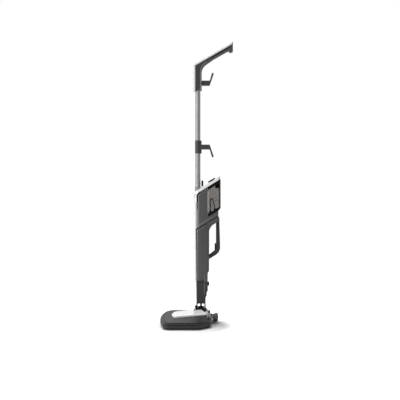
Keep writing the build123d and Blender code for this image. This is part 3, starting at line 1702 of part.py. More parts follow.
core_rear = stem_line + stem_core
insert_rear = core_rear + insert_thickness
insert_depth = grip_core + insert_thickness
hook_axis = handle_foot + hook_lift
pivot_front = core_rear - hook_pivot_depth


def handle_half(keep):
    """One half of the dark handle core with half of the spigot that enters the tube."""
    with BuildPart() as half:
        with BuildSketch(Plane.XZ):
            with BuildLine():
                Polyline(
                    (core_rear, handle_foot),
                    (stem_line, handle_foot),
                    bend_point(stem_line, 0),
                    grip_tip(0),
                    grip_tip(grip_core),
                )
                FilletPolyline(
                    grip_tip(grip_core),
                    bend_point(core_rear, grip_core),
                    (core_rear, handle_foot),
                    radius=elbow_radius,
                )
            make_face()
        extrude(amount=grip_half_width, both=True)
        with BuildSketch(Plane.XY.offset(handle_foot)):
            with Locations((tube_x, 0)):
                Circle(tube_radius - tube_wall - seat_gap)
        extrude(amount=-spigot_length)
        with BuildSketch(Plane.YZ.offset(pivot_front)):
            with Locations((0, hook_axis)):
                Circle(hook_pivot_radius + running_clearance)
        extrude(amount=stem_core, mode=Mode.SUBTRACT)
        split(bisect_by=Plane.XZ, keep=keep)
    return half


handle_left = handle_half(Keep.TOP)
write(handle_left, "handle_left")
handle_right = handle_half(Keep.BOTTOM)
write(handle_right, "handle_right")

insert_front = core_rear + seat_gap
insert_top = grip_core + seat_gap
lobe_z = grip_tip(insert_depth)[1] - end_lobe_radius
with BuildPart() as grip_insert:
    with BuildSketch(Plane.XZ):
        with BuildLine():
            FilletPolyline(
                (insert_front, handle_foot),
                bend_point(insert_front, insert_top),
                grip_tip(insert_top),
                radius=elbow_radius - seat_gap,
            )
            Line(grip_tip(insert_top), grip_tip(insert_depth))
            FilletPolyline(
                grip_tip(insert_depth),
                bend_point(insert_rear, insert_depth),
                (insert_rear, handle_foot),
                radius=elbow_radius - insert_thickness,
            )
            Line((insert_rear, handle_foot), (insert_front, handle_foot))
        make_face()
        with Locations((grip_end - end_lobe_radius, lobe_z)):
            Circle(end_lobe_radius)
    extrude(amount=grip_half_width, both=True)
    with BuildSketch(Plane.YZ.offset(pivot_front)):
        with Locations((0, hook_axis)):
            Circle(hook_pivot_radius + running_clearance)
    extrude(amount=stem_core, mode=Mode.SUBTRACT)
write(grip_insert, "grip_insert")

cover_line = stem_line - seat_gap
cover_low = handle_foot - cover_skirt
with BuildPart() as handle_cover:
    with BuildSketch(Plane.XZ):
        with BuildLine():
            FilletPolyline(
                (stem_line - handle_shell, cover_low),
                bend_point(stem_line - handle_shell, -handle_shell),
                grip_tip(-handle_shell),
                radius=handle_shell,
            )
            Polyline(
                grip_tip(-handle_shell),
                grip_tip(-seat_gap),
                bend_point(cover_line, -seat_gap),
                (cover_line, cover_low),
                (stem_line - handle_shell, cover_low),
            )
        make_face()
    extrude(amount=grip_half_width, both=True)
    outer_edges = [
        e
        for e in handle_cover.edges()
        if abs(abs(e.center().Y) - grip_half_width) < touch
        and (
            e.center().X < stem_line - handle_shell + touch
            or e.center().Z > bend_point(e.center().X, -handle_shell)[1] - handle_shell / 2
        )
    ]
    fillet(outer_edges, grip_rounding)
write(handle_cover, "handle_cover")

cap_low = lobe_z - end_lobe_radius
cap_high = grip_tip(-handle_shell)[1]
with BuildPart() as end_cap:
    with BuildSketch(Plane.XZ):
        with Locations((grip_end + seat_gap + end_cap_thickness / 2, (cap_low + cap_high) / 2)):
            Rectangle(end_cap_thickness, cap_high - cap_low)
    extrude(amount=grip_half_width, both=True)
    fillet(end_cap.edges().filter_by(Axis.X), grip_rounding)
    fillet(end_cap.faces().sort_by(Axis.X)[-1].edges(), end_cap_rounding)
write(end_cap, "end_cap")

# Upper hook, which turns on its pin to let the cord go
hook_root = insert_rear + moving_gap
with BuildPart() as upper_hook:
    with BuildSketch(Plane.XZ):
        add(hook_profile(hook_root, hook_axis, 1))
    extrude(amount=hook_half_width, both=True)
    fillet(upper_hook.edges().filter_by(Axis.Y).group_by(Axis.X)[-1], hook_rounding)
    with BuildSketch(Plane.YZ.offset(pivot_front + moving_gap)):
        with Locations((0, hook_axis)):
            Circle(hook_pivot_radius)
    extrude(amount=hook_root - pivot_front)
write(upper_hook, "upper_hook")
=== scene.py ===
import json
from math import radians

import bmesh
import bpy
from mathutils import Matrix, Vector, noise

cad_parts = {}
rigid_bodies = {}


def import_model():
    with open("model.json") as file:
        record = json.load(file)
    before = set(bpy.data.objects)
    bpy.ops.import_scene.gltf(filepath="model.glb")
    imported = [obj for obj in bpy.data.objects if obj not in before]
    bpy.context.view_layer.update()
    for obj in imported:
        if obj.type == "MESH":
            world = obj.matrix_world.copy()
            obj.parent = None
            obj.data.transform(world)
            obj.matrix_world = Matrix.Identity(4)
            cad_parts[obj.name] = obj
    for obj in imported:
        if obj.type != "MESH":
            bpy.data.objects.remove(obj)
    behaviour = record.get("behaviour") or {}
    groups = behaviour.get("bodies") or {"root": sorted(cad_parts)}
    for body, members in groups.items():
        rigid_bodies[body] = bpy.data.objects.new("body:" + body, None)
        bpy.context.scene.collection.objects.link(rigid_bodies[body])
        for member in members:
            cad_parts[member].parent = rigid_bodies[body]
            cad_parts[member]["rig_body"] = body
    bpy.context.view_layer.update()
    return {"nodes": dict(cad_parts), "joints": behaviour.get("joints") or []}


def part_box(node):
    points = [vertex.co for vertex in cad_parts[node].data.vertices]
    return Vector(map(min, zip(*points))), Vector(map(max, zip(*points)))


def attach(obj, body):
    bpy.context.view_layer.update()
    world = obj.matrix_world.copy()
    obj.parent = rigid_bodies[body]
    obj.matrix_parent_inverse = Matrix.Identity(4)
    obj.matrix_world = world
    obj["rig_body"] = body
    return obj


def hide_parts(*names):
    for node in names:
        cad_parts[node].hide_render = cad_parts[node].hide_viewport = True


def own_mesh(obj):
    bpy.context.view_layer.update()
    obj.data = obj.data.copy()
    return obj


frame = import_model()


# Studio
# A white photo sweep: a pale floor that keeps the shadow, a softbox overhead, a tall one at the front
# left and even light from all round. The floor glows for the camera only away from the head: painted
# light that washes out the far shadows, so that only the shadow by the head stays. The camera is level
# and looks along +Y at the left side. All sizes are in metres.
view_distance = 2.4
view_height = 0.515
view_x = -0.0042
level_along_y = (radians(90), 0, 0)
metres_per_pixel = 0.0042
image_pixels = 400
sensor_width = 36.0
floor_half = 4.0
floor_tone = (0.94, 0.94, 0.94, 1)
far_glow = (0.6, 0.6, 0.6, 1)
glow_middle = (-0.04, -0.06, 0)
glow_start = 0.13
glow_end = 0.19
white = (1, 1, 1, 1)
black = (0, 0, 0, 1)
ambient = 0.4
lamp_target = Vector((0, 0, 0.5))
lamps = [
    ("high_softbox", Vector((-0.3, 0.22, 2.2)), 0.6, 0.6, 25.0),
    ("tall_softbox", Vector((-1.75, -1.4, 1.05)), 0.8, 2.0, 35.0),
]


class Wire:
    """A socket of a node tree. Arithmetic on wires adds Math nodes, and node() adds any other node."""

    # Sockets of the Mix node that take and give colours, which share their names with others.
    mix_factor, mix_low, mix_high, mix_result = 0, 6, 7, 2

    def __init__(self, tree, socket=None):
        self.tree = tree
        self.socket = socket

    def node(self, kind, settings=None, sockets=None, out=0):
        made = self.tree.nodes.new(kind)
        for name, value in (settings or {}).items():
            setattr(made, name, value)
        for name, value in (sockets or {}).items():
            if isinstance(value, Wire):
                self.tree.links.new(value.socket, made.inputs[name])
            else:
                made.inputs[name].default_value = value
        return Wire(self.tree, made.outputs[out] if made.outputs else None)

    def out(self, name):
        return Wire(self.tree, self.socket.node.outputs[name])

    def math(self, operation, first, second=0.0):
        return self.node("ShaderNodeMath", {"operation": operation}, {0: first, 1: second})

    def __add__(self, other):
        return self.math("ADD", self, other)

    def __radd__(self, other):
        return self.math("ADD", other, self)

    def __sub__(self, other):
        return self.math("SUBTRACT", self, other)

    def __rsub__(self, other):
        return self.math("SUBTRACT", other, self)

    def __mul__(self, other):
        return self.math("MULTIPLY", self, other)

    def __rmul__(self, other):
        return self.math("MULTIPLY", other, self)

    def step(self, start, end):
        """0 below start, 1 above end, and smooth between them."""
        ends = {"Value": self, "From Min": start, "From Max": end}
        return self.node("ShaderNodeMapRange", {"interpolation_type": "SMOOTHSTEP"}, ends)

    def colour(self, low, high):
        """A colour between two, by this factor."""
        ends = {self.mix_factor: self, self.mix_low: low, self.mix_high: high}
        return self.node("ShaderNodeMix", {"data_type": "RGBA"}, ends, out=self.mix_result)


def sees_background(root):
    """1 for the rays that show the white sweep itself, 0 for those that carry its light."""
    rays = root.node("ShaderNodeLightPath")
    mirrored = root.math("MAXIMUM", rays.out("Is Glossy Ray"), rays.out("Is Transmission Ray"))
    return root.math("MAXIMUM", rays.out("Is Camera Ray"), mirrored)


scene = bpy.context.scene
scene.view_settings.view_transform = "Standard"

camera_data = bpy.data.cameras.new("camera")
camera_data.sensor_width = sensor_width
camera_data.lens = sensor_width * view_distance / (metres_per_pixel * image_pixels)
camera = bpy.data.objects.new("camera", camera_data)
camera.location = (view_x, -view_distance, view_height)
camera.rotation_euler = level_along_y
scene.collection.objects.link(camera)
scene.camera = camera

sweep = bpy.data.worlds.new("white_sweep")
sweep.use_nodes = True
sweep.node_tree.nodes.clear()
root = Wire(sweep.node_tree)
strength = ambient + sees_background(root) * (1 - ambient)
glow = root.node("ShaderNodeBackground", {}, {"Color": white, "Strength": strength})
root.node("ShaderNodeOutputWorld", {}, {"Surface": glow})
scene.world = sweep

for name, place, width, height, energy in lamps:
    lamp_data = bpy.data.lights.new(name, "AREA")
    lamp_data.energy = energy
    lamp_data.shape = "RECTANGLE"
    lamp_data.size = width
    lamp_data.size_y = height
    lamp = bpy.data.objects.new(name, lamp_data)
    lamp.location = place
    lamp.rotation_euler = (lamp_target - place).to_track_quat("-Z", "Y").to_euler()
    scene.collection.objects.link(lamp)


def new_finish(name):
    """An empty material and a wire to build it from."""
    finish = bpy.data.materials.new(name)
    finish.use_nodes = True
    finish.node_tree.nodes.clear()
    return finish, Wire(finish.node_tree)


def surface(root, sockets):
    """Closes a material with one Principled shader."""
    shader = root.node("ShaderNodeBsdfPrincipled", {}, sockets)
    root.node("ShaderNodeOutputMaterial", {}, {"Surface": shader})


# Painted light: no glow round glow_middle, rising to far_glow past glow_end, so shadows farther out turn
# white.
floor_finish, root = new_finish("pale_floor")
ends = {0: root.node("ShaderNodeTexCoord").out("Object"), 1: glow_middle}
reach = root.node("ShaderNodeVectorMath", {"operation": "DISTANCE"}, ends).out("Value")
glow = reach.step(glow_start, glow_end).colour(black, far_glow)
surface(root, {
    "Base Color": floor_tone,
    "Roughness": 0.9,
    "Specular IOR Level": 0.0,
    "Emission Color": sees_background(root).colour(black, glow),
    "Emission Strength": 1.0,
})
shape = bmesh.new()
bmesh.ops.create_grid(shape, x_segments=1, y_segments=1, size=floor_half)
floor_mesh = bpy.data.meshes.new("floor")
shape.to_mesh(floor_mesh)
shape.free()
floor_mesh.materials.append(floor_finish)
floor = bpy.data.objects.new("floor", floor_mesh)
scene.collection.objects.link(floor)


# Mop pad
# A washable pad of dark looped microfibre on thin foam, cut to the outline of the head. It clings to
# the tray above it and lies flat on the floor, with its edge swelled out between the two.
pad_voxel = 0.003
pad_smoothing = 5
pad_pressure = 4.0
pad_frames = 20
pad_swell = 0.0012
pad_shrink = 0.0004
loop_height = 0.0003
loop_pitch = 900.0
pile_dark = (0.016, 0.016, 0.017, 1)
pile_light = (0.05, 0.05, 0.052, 1)
smooth_angle = radians(50)
weld_distance = 1e-6
flat_angle = radians(0.3)


def grain(root, waves, detail=2.0, stretch=(1, 1, 1)):
    """Noise from 0 to 1 in the piece's own place, with its waves counted per metre."""
    place = root.node("ShaderNodeTexCoord").out("Object")
    turned = root.node("ShaderNodeMapping", {}, {"Vector": place, "Scale": stretch})
    return root.node("ShaderNodeTexNoise", {}, {"Vector": turned, "Scale": waves, "Detail": detail})


def relief(root, height, depth):
    """Normal of a surface with fine relief of a given depth."""
    return root.node("ShaderNodeBump", {}, {"Height": height, "Distance": depth, "Strength": 1.0})


def add_piece(shape, name, finish, body):
    """Makes a finished bmesh an object that rides on a body."""
    mesh = bpy.data.meshes.new(name)
    shape.to_mesh(mesh)
    shape.free()
    mesh.shade_smooth()
    mesh.set_sharp_from_angle(angle=smooth_angle)
    mesh.materials.append(finish)
    piece = bpy.data.objects.new(name, mesh)
    scene.collection.objects.link(piece)
    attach(piece, body)
    return piece


def merged_copy(node):
    """A welded copy of a node's mesh, with its flat faces whole."""
    shape = bmesh.new()
    shape.from_mesh(frame["nodes"][node].data)
    bmesh.ops.remove_doubles(shape, verts=shape.verts, dist=weld_distance)
    bmesh.ops.dissolve_limit(shape, angle_limit=flat_angle, verts=shape.verts, edges=shape.edges)
    return shape


def applied(piece):
    """Puts a piece's modifiers into its mesh and removes them."""
    depsgraph = bpy.context.evaluated_depsgraph_get()
    depsgraph.update()
    mesh = bpy.data.meshes.new_from_object(piece.evaluated_get(depsgraph))
    piece.modifiers.clear()
    piece.data = mesh


microfibre, root = new_finish("looped_microfibre")
loops = root.node("ShaderNodeTexVoronoi", {}, {
    "Vector": root.node("ShaderNodeTexCoord").out("Object"),
    "Scale": loop_pitch,
})
tone = loops * 0.7 + grain(root, waves=60.0) * 0.5
surface(root, {
    "Base Color": tone.colour(pile_dark, pile_light),
    "Roughness": 0.95,
    "Specular IOR Level": 0.1,
    "Sheen Weight": 0.35,
    "Sheen Roughness": 0.5,
    "Normal": relief(root, 1 - loops, depth=0.0008),
})

pad_low, pad_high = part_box("mop_pad")
shape = merged_copy("mop_pad")
mop_pad = add_piece(shape, "mop_pad_cloth", microfibre, "floor_head")
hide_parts("mop_pad")
remesh = mop_pad.modifiers.new("remesh", "REMESH")
remesh.mode = "VOXEL"
remesh.voxel_size = pad_voxel
even = mop_pad.modifiers.new("even", "SMOOTH")
even.iterations = pad_smoothing
applied(mop_pad)
rest_points = [vertex.co.copy() for vertex in mop_pad.data.vertices]
cloth = mop_pad.modifiers.new("cloth", "CLOTH")
cloth.settings.use_pressure = True
cloth.settings.uniform_pressure_force = pad_pressure
cloth.settings.effector_weights.gravity = 0
for frame_number in range(1, pad_frames + 1):
    scene.frame_set(frame_number)
applied(mop_pad)
scene.frame_set(1)
pad_middle = (pad_low + pad_high) / 2
for vertex, rest in zip(mop_pad.data.vertices, rest_points):
    swell = vertex.co - rest
    if swell.length > pad_swell:
        swell *= pad_swell / swell.length
    inward = Vector((pad_middle.x - rest.x, pad_middle.y - rest.y, 0)).normalized() * pad_shrink
    loop = vertex.normal * loop_height * noise.noise(rest * loop_pitch / 2)
    vertex.co = rest + swell + inward + loop
    vertex.co.z = min(max(vertex.co.z, pad_low.z), pad_high.z)
mop_pad.data.materials.clear()
mop_pad.data.materials.append(microfibre)
mop_pad.data.shade_smooth()
soften = mop_pad.modifiers.new("soften", "SUBSURF")
soften.levels = 1
soften.render_levels = 1


# Floor head
# A tray and an upper shell of dark grained plastic, screwed together from below. A groove runs round
# the rim, a dark strip at the foot of the deck is painted shade under the step, and the steam
# distributor sits inside.
mould_edge = 0.0007
sharp_angle = radians(28)
fine_waves = 1600.0
fine_depth = 0.00002
cloud = 0.04
on_plane = 1e-7
head_tone = (0.011, 0.011, 0.0114, 1)
tray_tone = (0.006, 0.006, 0.0062, 1)
foot_shade_tone = (0.012, 0.012, 0.0124, 1)
rim_top = 0.0275
rim_foot = 0.0228
rim_under = 0.025
rim_tilt = 0.02
groove_floor = 0.0259
rim_drop = 0.0042
groove_drop = 0.0031
drop_full = 0.004
drop_end = 0.022
deck_flat = 0.9
touch = 0.00008
foot_shade_half = 0.0004


def toned(tone, gain, lift=0.0):
    """A colour made darker or paler."""
    return tuple(part * gain + lift for part in tone[:3]) + (1,)


def moulded(name, tone, roughness, specular=0.4, wear_and_sheen=0.5, coat=0.0):
    """Moulded plastic: fine spark-eroded grain, faint clouds, and paler rounded edges, part handling
    wear and part painted highlight.
    """
    finish, root = new_finish(name)
    fine = grain(root, fine_waves)
    clouds = grain(root, waves=22.0, detail=3.0)
    clouded = clouds.step(0.3, 0.7).colour(toned(tone, 1 - cloud), toned(tone, 1 + cloud))
    edge = root.node("ShaderNodeAttribute", {"attribute_name": "edge_wear_and_sheen"}).out("Fac")
    # Paler rounded edges, scuffed in patches: part handling wear, part painted highlight.
    scuffed_and_sheen = edge * grain(root, waves=160.0, detail=4.0).step(0.42, 0.68) * wear_and_sheen
    surface(root, {
        "Base Color": scuffed_and_sheen.colour(clouded, toned(tone, 1.6, lift=0.03)),
        "Roughness": roughness + (clouds - 0.5) * 0.05 + (fine - 0.5) * 0.08,
        "Specular IOR Level": specular,
        "Coat Weight": coat,
        "Coat Roughness": 0.12,
        "Normal": relief(root, fine, fine_depth),
    })
    return finish


def rounded(shape, node, finish, edge=mould_edge):
    """Rounds a shape's sharp outer edges and lets it stand for a node."""
    corners = [
        line
        for line in shape.edges
        if len(line.link_faces) == 2 and line.is_convex and line.calc_face_angle() > sharp_angle
    ]
    made = bmesh.ops.bevel(
        shape,
        geom=corners,
        offset=edge,
        offset_type="OFFSET",
        segments=3,
        profile=0.5,
        affect="EDGES",
        clamp_overlap=True,
        material=-1,
    )
    # The rounded faces are marked for the paler edges, part wear and part painted highlight.
    wear_and_sheen = shape.faces.layers.float.new("edge_wear_and_sheen")
    for face in made["faces"]:
        if face.is_valid:
            face[wear_and_sheen] = 1.0
    body = frame["nodes"][node]["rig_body"]
    piece = add_piece(shape, node + "_moulding", finish, body)
    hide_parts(node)
    even = piece.modifiers.new("even_normals", "WEIGHTED_NORMAL")
    even.keep_sharp = True
    return piece


def softened(node, finish, edge=mould_edge):
    """A stand-in for a moulded node whose outer corners are rounded, as its mould leaves them."""
    return rounded(merged_copy(node), node, finish, edge)


def paint(finish, *nodes):
    """Gives nodes that stay as they are a finish."""
    for node in nodes:
        for slot in frame["nodes"][node].material_slots:
            slot.material = finish


def cut(shape, point, away, clear=False):
    """Parts a shape's faces along a plane, and clears what lies past it if asked."""
    whole = shape.verts[:] + shape.edges[:] + shape.faces[:]
    bmesh.ops.bisect_plane(
        shape, geom=whole, dist=on_plane, plane_co=point, plane_no=away, clear_outer=clear
    )


def way_along(value, start, end):
    """How far a value has come from start to end, from 0 to 1."""
    return min(max((value - start) / (end - start), 0), 1)


def climbs(vertex, height):
    """Whether a face at a vertex goes up past a height."""
    return any(other.co.z > height for face in vertex.link_faces for other in face.verts)


def thicken(skin, half):
    """Gives a skin the same thickness on both sides of it."""
    wall = skin.modifiers.new("thickness", "SOLIDIFY")
    wall.thickness = 2 * half
    wall.offset = 0


head_dark = moulded("head_plastic", head_tone, roughness=0.44, specular=0.23)
tray_dark = moulded("tray_plastic", tray_tone, roughness=0.5)
# Material of the painted shade strip at the foot of the deck.
foot_shade_dark = moulded("foot_shade_plastic", foot_shade_tone, roughness=0.5, specular=0.25)

shape = merged_copy("head_shell")
for x in (drop_full, drop_end):
    cut(shape, (x, 0, 0), (1, 0, 0))
shape.normal_update()
lowered = []
for vertex in shape.verts:
    on_rim = rim_foot < vertex.co.z < rim_top + touch and vertex.normal.z > rim_tilt
    under_rim = abs(vertex.co.z - rim_under) < touch and vertex.normal.z < 0
    if on_rim and not climbs(vertex, rim_top + touch):
        lowered.append(vertex)
    elif under_rim and not climbs(vertex, rim_under + touch):
        lowered.append(vertex)
loose = set(lowered)
foot = []
for face in shape.faces:
    flat = face.normal.z > deck_flat and abs(face.calc_center_median().z - rim_top) < touch
    if flat and any(vertex not in loose for vertex in face.verts):
        foot.append(face)
for face in bmesh.ops.triangulate(shape, faces=foot)["faces"]:
    face.material_index = 1
for vertex in lowered:
    in_groove = abs(vertex.co.z - groove_floor) < touch and vertex.normal.z > 0
    fade = way_along(vertex.co.x, drop_end, drop_full)
    vertex.co.z -= fade * (groove_drop if in_groove else rim_drop)
shape.normal_update()
# Painted shade: the flat faces at the foot of the deck become a thin dark strip that darkens the step.
foot_shade_strip = shape.copy()
plain = [face for face in foot_shade_strip.faces if face.material_index == 0]
bmesh.ops.delete(foot_shade_strip, geom=plain, context="FACES")
for part in (shape, foot_shade_strip):
    for face in part.faces:
        face.material_index = 0
rounded(shape, "head_shell", head_dark)
rim_foot_shade = add_piece(foot_shade_strip, "rim_foot_shade", foot_shade_dark, "floor_head")
thicken(rim_foot_shade, foot_shade_half)
softened("base_plate", tray_dark)
paint(tray_dark, "steam_manifold")


def bright_metal(name, tone, roughness, waves, stretch=(1, 1, 1)):
    """Drawn or turned metal with fine lines along its length."""
    finish, root = new_finish(name)
    lines = grain(root, waves, 3.0, stretch)
    clouds = grain(root, waves=40.0)
    streaks = (lines * 0.6 + clouds * 0.4).step(0.25, 0.75)
    surface(root, {
        "Base Color": streaks.colour(toned(tone, 0.82), tone),
        "Metallic": 1.0,
        "Roughness": roughness + (lines - 0.5) * 0.14,
        "Normal": relief(root, lines, depth=0.00003),
    })
    return finish


steel_tone = (0.56, 0.56, 0.55, 1)
steel = bright_metal("turned_steel", steel_tone, roughness=0.32, waves=700.0)
paint(steel, "head_screws")


# White cover of the floor head
# A wedge of glossy white plastic clipped on the deck, with a cheek on each side of the joint. Each
# cheek has a raised tail over the rear bracket, whose inner edge leaves room for the neck.
cover_edge = 0.0014
white_tone = (0.78, 0.78, 0.775, 1)
tail_front = 0.0199
tail_foot = 0.041
tail_lift = 0.0054
tail_slope = 0.55
cheek_inside = (0.025, 0.036)
neck_room = 0.0035
deck_zero = 0.04029
deck_slope = 0.0963
deck_touch = 4 * touch


def gloss(name, tone):
    """High-gloss plastic: clean colour, a slight unevenness in the skin and hairline scratches."""
    finish, root = new_finish(name)
    clouds = grain(root, waves=14.0)
    hairs = grain(root, waves=90.0, detail=6.0, stretch=(1, 1, 14)).step(0.62, 0.7)
    surface(root, {
        "Base Color": clouds.step(0.3, 0.7).colour(toned(tone, 0.955), tone),
        "Roughness": 0.2 + hairs * 0.16 + (clouds - 0.5) * 0.08,
        "Specular IOR Level": 0.5,
        "Coat Weight": 0.25 - hairs * 0.2,
        "Coat Roughness": 0.08,
        "Normal": relief(root, clouds + hairs * 0.05, depth=0.0002),
    })
    return finish


white_gloss = gloss("gloss_white", white_tone)
shape = merged_copy("head_cover")
for vertex in shape.verts:
    on_deck = abs(vertex.co.z - deck_zero - vertex.co.x * deck_slope) < deck_touch
    if vertex.co.x > tail_front and vertex.co.z > tail_foot and not on_deck:
        vertex.co.z += tail_lift + (vertex.co.x - tail_front) * tail_slope
        if cheek_inside[0] < abs(vertex.co.y) < cheek_inside[1]:
            vertex.co.y *= 1 + neck_room / abs(vertex.co.y)
rounded(shape, "head_cover", white_gloss, cover_edge)


# Joint of two axes
# A black ring turns on two steel pins between bearing blocks on the deck, and the neck's fork turns
# on two more pins through the ring at right angles to them.
joint_tone = (0.0056, 0.0056, 0.006, 1)
joint_black = moulded("joint_black", joint_tone, roughness=0.6, specular=0.06)
softened("pivot_saddles", joint_black)
softened("joint_ring", joint_black)
softened("neck_fork", joint_black)
paint(steel, "tilt_pins", "roll_pins")


# Rear bracket and foot pedal
# A grey bracket stands on the rim behind the cover, with a slot that lets the neck swing down. The
# ribbed black pedal turns on a pin between its lugs, and a torsion spring lifts it again.
bracket_tone = (0.29, 0.29, 0.295, 1)
pedal_tone = (0.075, 0.075, 0.0765, 1)
tread_black = (0.008, 0.008, 0.0082, 1)
tread_top = 0.0205
blend_width = 0.0003
spring_tone = (0.4, 0.4, 0.41, 1)


def place_along(root, axis):
    """One coordinate of the piece's own place, in metres."""
    place = root.node("ShaderNodeTexCoord").out("Object")
    return root.node("ShaderNodeSeparateXYZ", {}, {"Vector": place}).out(axis)


def past(wire, limit):
    """0 before a limit and 1 past it, with a narrow blend."""
    return wire.step(limit - blend_width, limit + blend_width)


softened("rear_bracket", moulded("bracket_grey", bracket_tone, roughness=0.4))
pedal_finish, root = new_finish("pedal_black")
fine = grain(root, fine_waves)
upper = past(place_along(root, "Z"), tread_top)
surface(root, {
    "Base Color": (upper * (0.9 + fine * 0.2)).colour(tread_black, pedal_tone),
    "Roughness": 0.55 + (fine - 0.5) * 0.14,
    "Specular IOR Level": 0.3,
    "Normal": relief(root, fine, depth=0.00004),
})
softened("pedal", pedal_finish)
paint(steel, "pedal_pin")
spring_steel = bright_metal("spring_wire", spring_tone, roughness=0.28, waves=1800.0)
paint(spring_steel, "pedal_spring")


# Coil springs
# Four small springs of drawn steel wire, behind the two buttons, the trigger and the latch. One end
# rests in a pocket. Each coil here is a rigid copy of its node on the node's own body.
coil_springs = {
    "head_release_press": "release_spring",
    "trigger_pull": "trigger_spring",
    "tube_release_press": "button_spring",
    "latch_slide": "latch_spring",
}
coil_slack = 0.9
for joint in frame["joints"]:
    if joint["name"] not in coil_springs:
        continue
    node = coil_springs[joint["name"]]
    shape = merged_copy(node)
    press = Vector(joint["axis"]).normalized()
    reach = [vertex.co.dot(press) for vertex in shape.verts]
    length = max(reach) - min(reach)
    keep = (1 - joint["range_m"][1] / length) * coil_slack
    body = frame["nodes"][node]["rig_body"]
    coil = add_piece(shape, node + "_coil", spring_steel, body)
    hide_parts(node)
    press * max(reach)
    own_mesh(coil)


# Neck
# Two moulded halves hold the fork below and take the body's tenon above, with a slim grey line down
# each side that is a painted highlight. The steam pipe runs through them to a rubber seal, and a
# button lets the body go.
neck_tone = (0.0145, 0.0145, 0.015, 1)
highlight_line_tone = (0.15, 0.15, 0.152, 1)
rubber_tone = (0.01, 0.01, 0.01, 1)
sides = ("left", "right")
side_tilt = 0.2
line_proud = 0.0002
line_front = 0.0134
line_rear = 0.0158
line_foot = 0.12
line_margin = 0.001


def overlay(shape, node, name, cuts, finish):
    """A thin raised skin on a shape's outer sides, trimmed by planes: a point, and the way to clear."""
    widest = max(abs(vertex.co.y) for vertex in shape.verts)
    for point, away in cuts:
        cut(shape, point, away, clear=True)
    hidden = []
    for face in shape.faces:
        middle = face.calc_center_median().y
        if face.normal.y * middle < abs(middle) * side_tilt or abs(middle) < widest / 2:
            hidden.append(face)
    bmesh.ops.delete(shape, geom=hidden, context="FACES")
    body = frame["nodes"][node]["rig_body"]
    thicken(add_piece(shape, name, finish, body), line_proud)


def upright_line(shape, node, name, low, high):
    """A slim upright pale line on the side of a shape, a painted highlight."""
    overlay(shape, node, name, [
        ((line_front, 0, 0), (-1, 0, 0)),
        ((line_rear, 0, 0), (1, 0, 0)),
        ((0, 0, low), (0, 0, -1)),
        ((0, 0, high), (0, 0, 1)),
    ], highlight_line_grey)


def rubber(name, tone):
    """Soft rubber with a dry, slightly dusty skin."""
    finish, root = new_finish(name)
    fine = grain(root, waves=900.0, detail=3.0)
    clouds = grain(root, waves=50.0)
    surface(root, {
        "Base Color": (fine * 0.5 + clouds * 0.5).step(0.3, 0.7).colour(tone, toned(tone, 1.7)),
        "Roughness": 0.78 + (fine - 0.5) * 0.14,
        "Specular IOR Level": 0.25,
        "Normal": relief(root, fine, depth=0.00008),
    })
    return finish


neck_dark = moulded("neck_plastic", neck_tone, roughness=0.46, specular=0.35)
highlight_line_grey = moulded("highlight_line_grey", highlight_line_tone, roughness=0.4)
black_rubber = rubber("black_rubber", rubber_tone)
softened("head_release_button", joint_black)
for side in sides:
    node = "neck_shell_" + side
    softened(node, neck_dark)
    line_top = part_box(node)[1].z - line_margin
    # Painted highlight: a pale line down the side of the neck.
    upright_line(merged_copy(node), node, "neck_line_" + side, line_foot, line_top)
paint(black_rubber, "socket_seal")
paint(joint_black, "steam_pipe")


# Lower body
# Two halves of satin dark plastic, screwed together from the right, that hold the boiler and the pump
# on ribs. A tenon with the brass steam nozzle plugs into the neck, and a shoulder closes the rear.
body_tone = (0.035, 0.035, 0.0362, 1)
brass_tone = (0.72, 0.5, 0.22, 1)
cast_tone = (0.5, 0.5, 0.5, 1)
pump_tone = (0.55, 0.54, 0.5, 1)
crown_steps = 10
body_crown = {"front": -0.022, "end": 0.014, "taper": 0.11}
foot_margin = 0.0006
foot_line_top = 0.207
dark_foot_rear = 0.0115
dark_foot_low = Vector((-0.02, 0, 0.178))
dark_foot_high = Vector((0.0115, 0, 0.194))
seam_foot = 0.408
seam_slope = 0.6128
seam_up = Vector((-seam_slope, 0, 1)).normalized()
seam_shadow_band = (-0.0056, -0.0028)
line_band = (-0.0122, -0.009)
halves_rear = 0.022
shoulder_rear = 0.07
shoulder_reach = 0.012
shoulder_tuck = 0.998
arch_rise = 0.014


def crowned(node, front, end, taper):
    """A copy of a node whose sides curve gently in towards its front, by a share of its width."""
    shape = merged_copy(node)
    for number in range(1, crown_steps + 1):
        cut(shape, (front + (end - front) * number / crown_steps, 0, 0), (1, 0, 0))
    for vertex in shape.verts:
        share = way_along(vertex.co.x, end, front)
        vertex.co.y *= 1 - taper * share * share
    return shape


def seam_line(shape, node, name, band, rear, finish):
    """A slim strip along the slanted seam, between two heights over it, as far back as given.
    In black it is a painted shadow under the seam, in grey a painted highlight.
    """
    low, high = band
    overlay(shape, node, name, [
        ((0, 0, seam_foot + low), -seam_up),
        ((0, 0, seam_foot + high), seam_up),
        ((rear, 0, 0), (1, 0, 0)),
    ], finish)


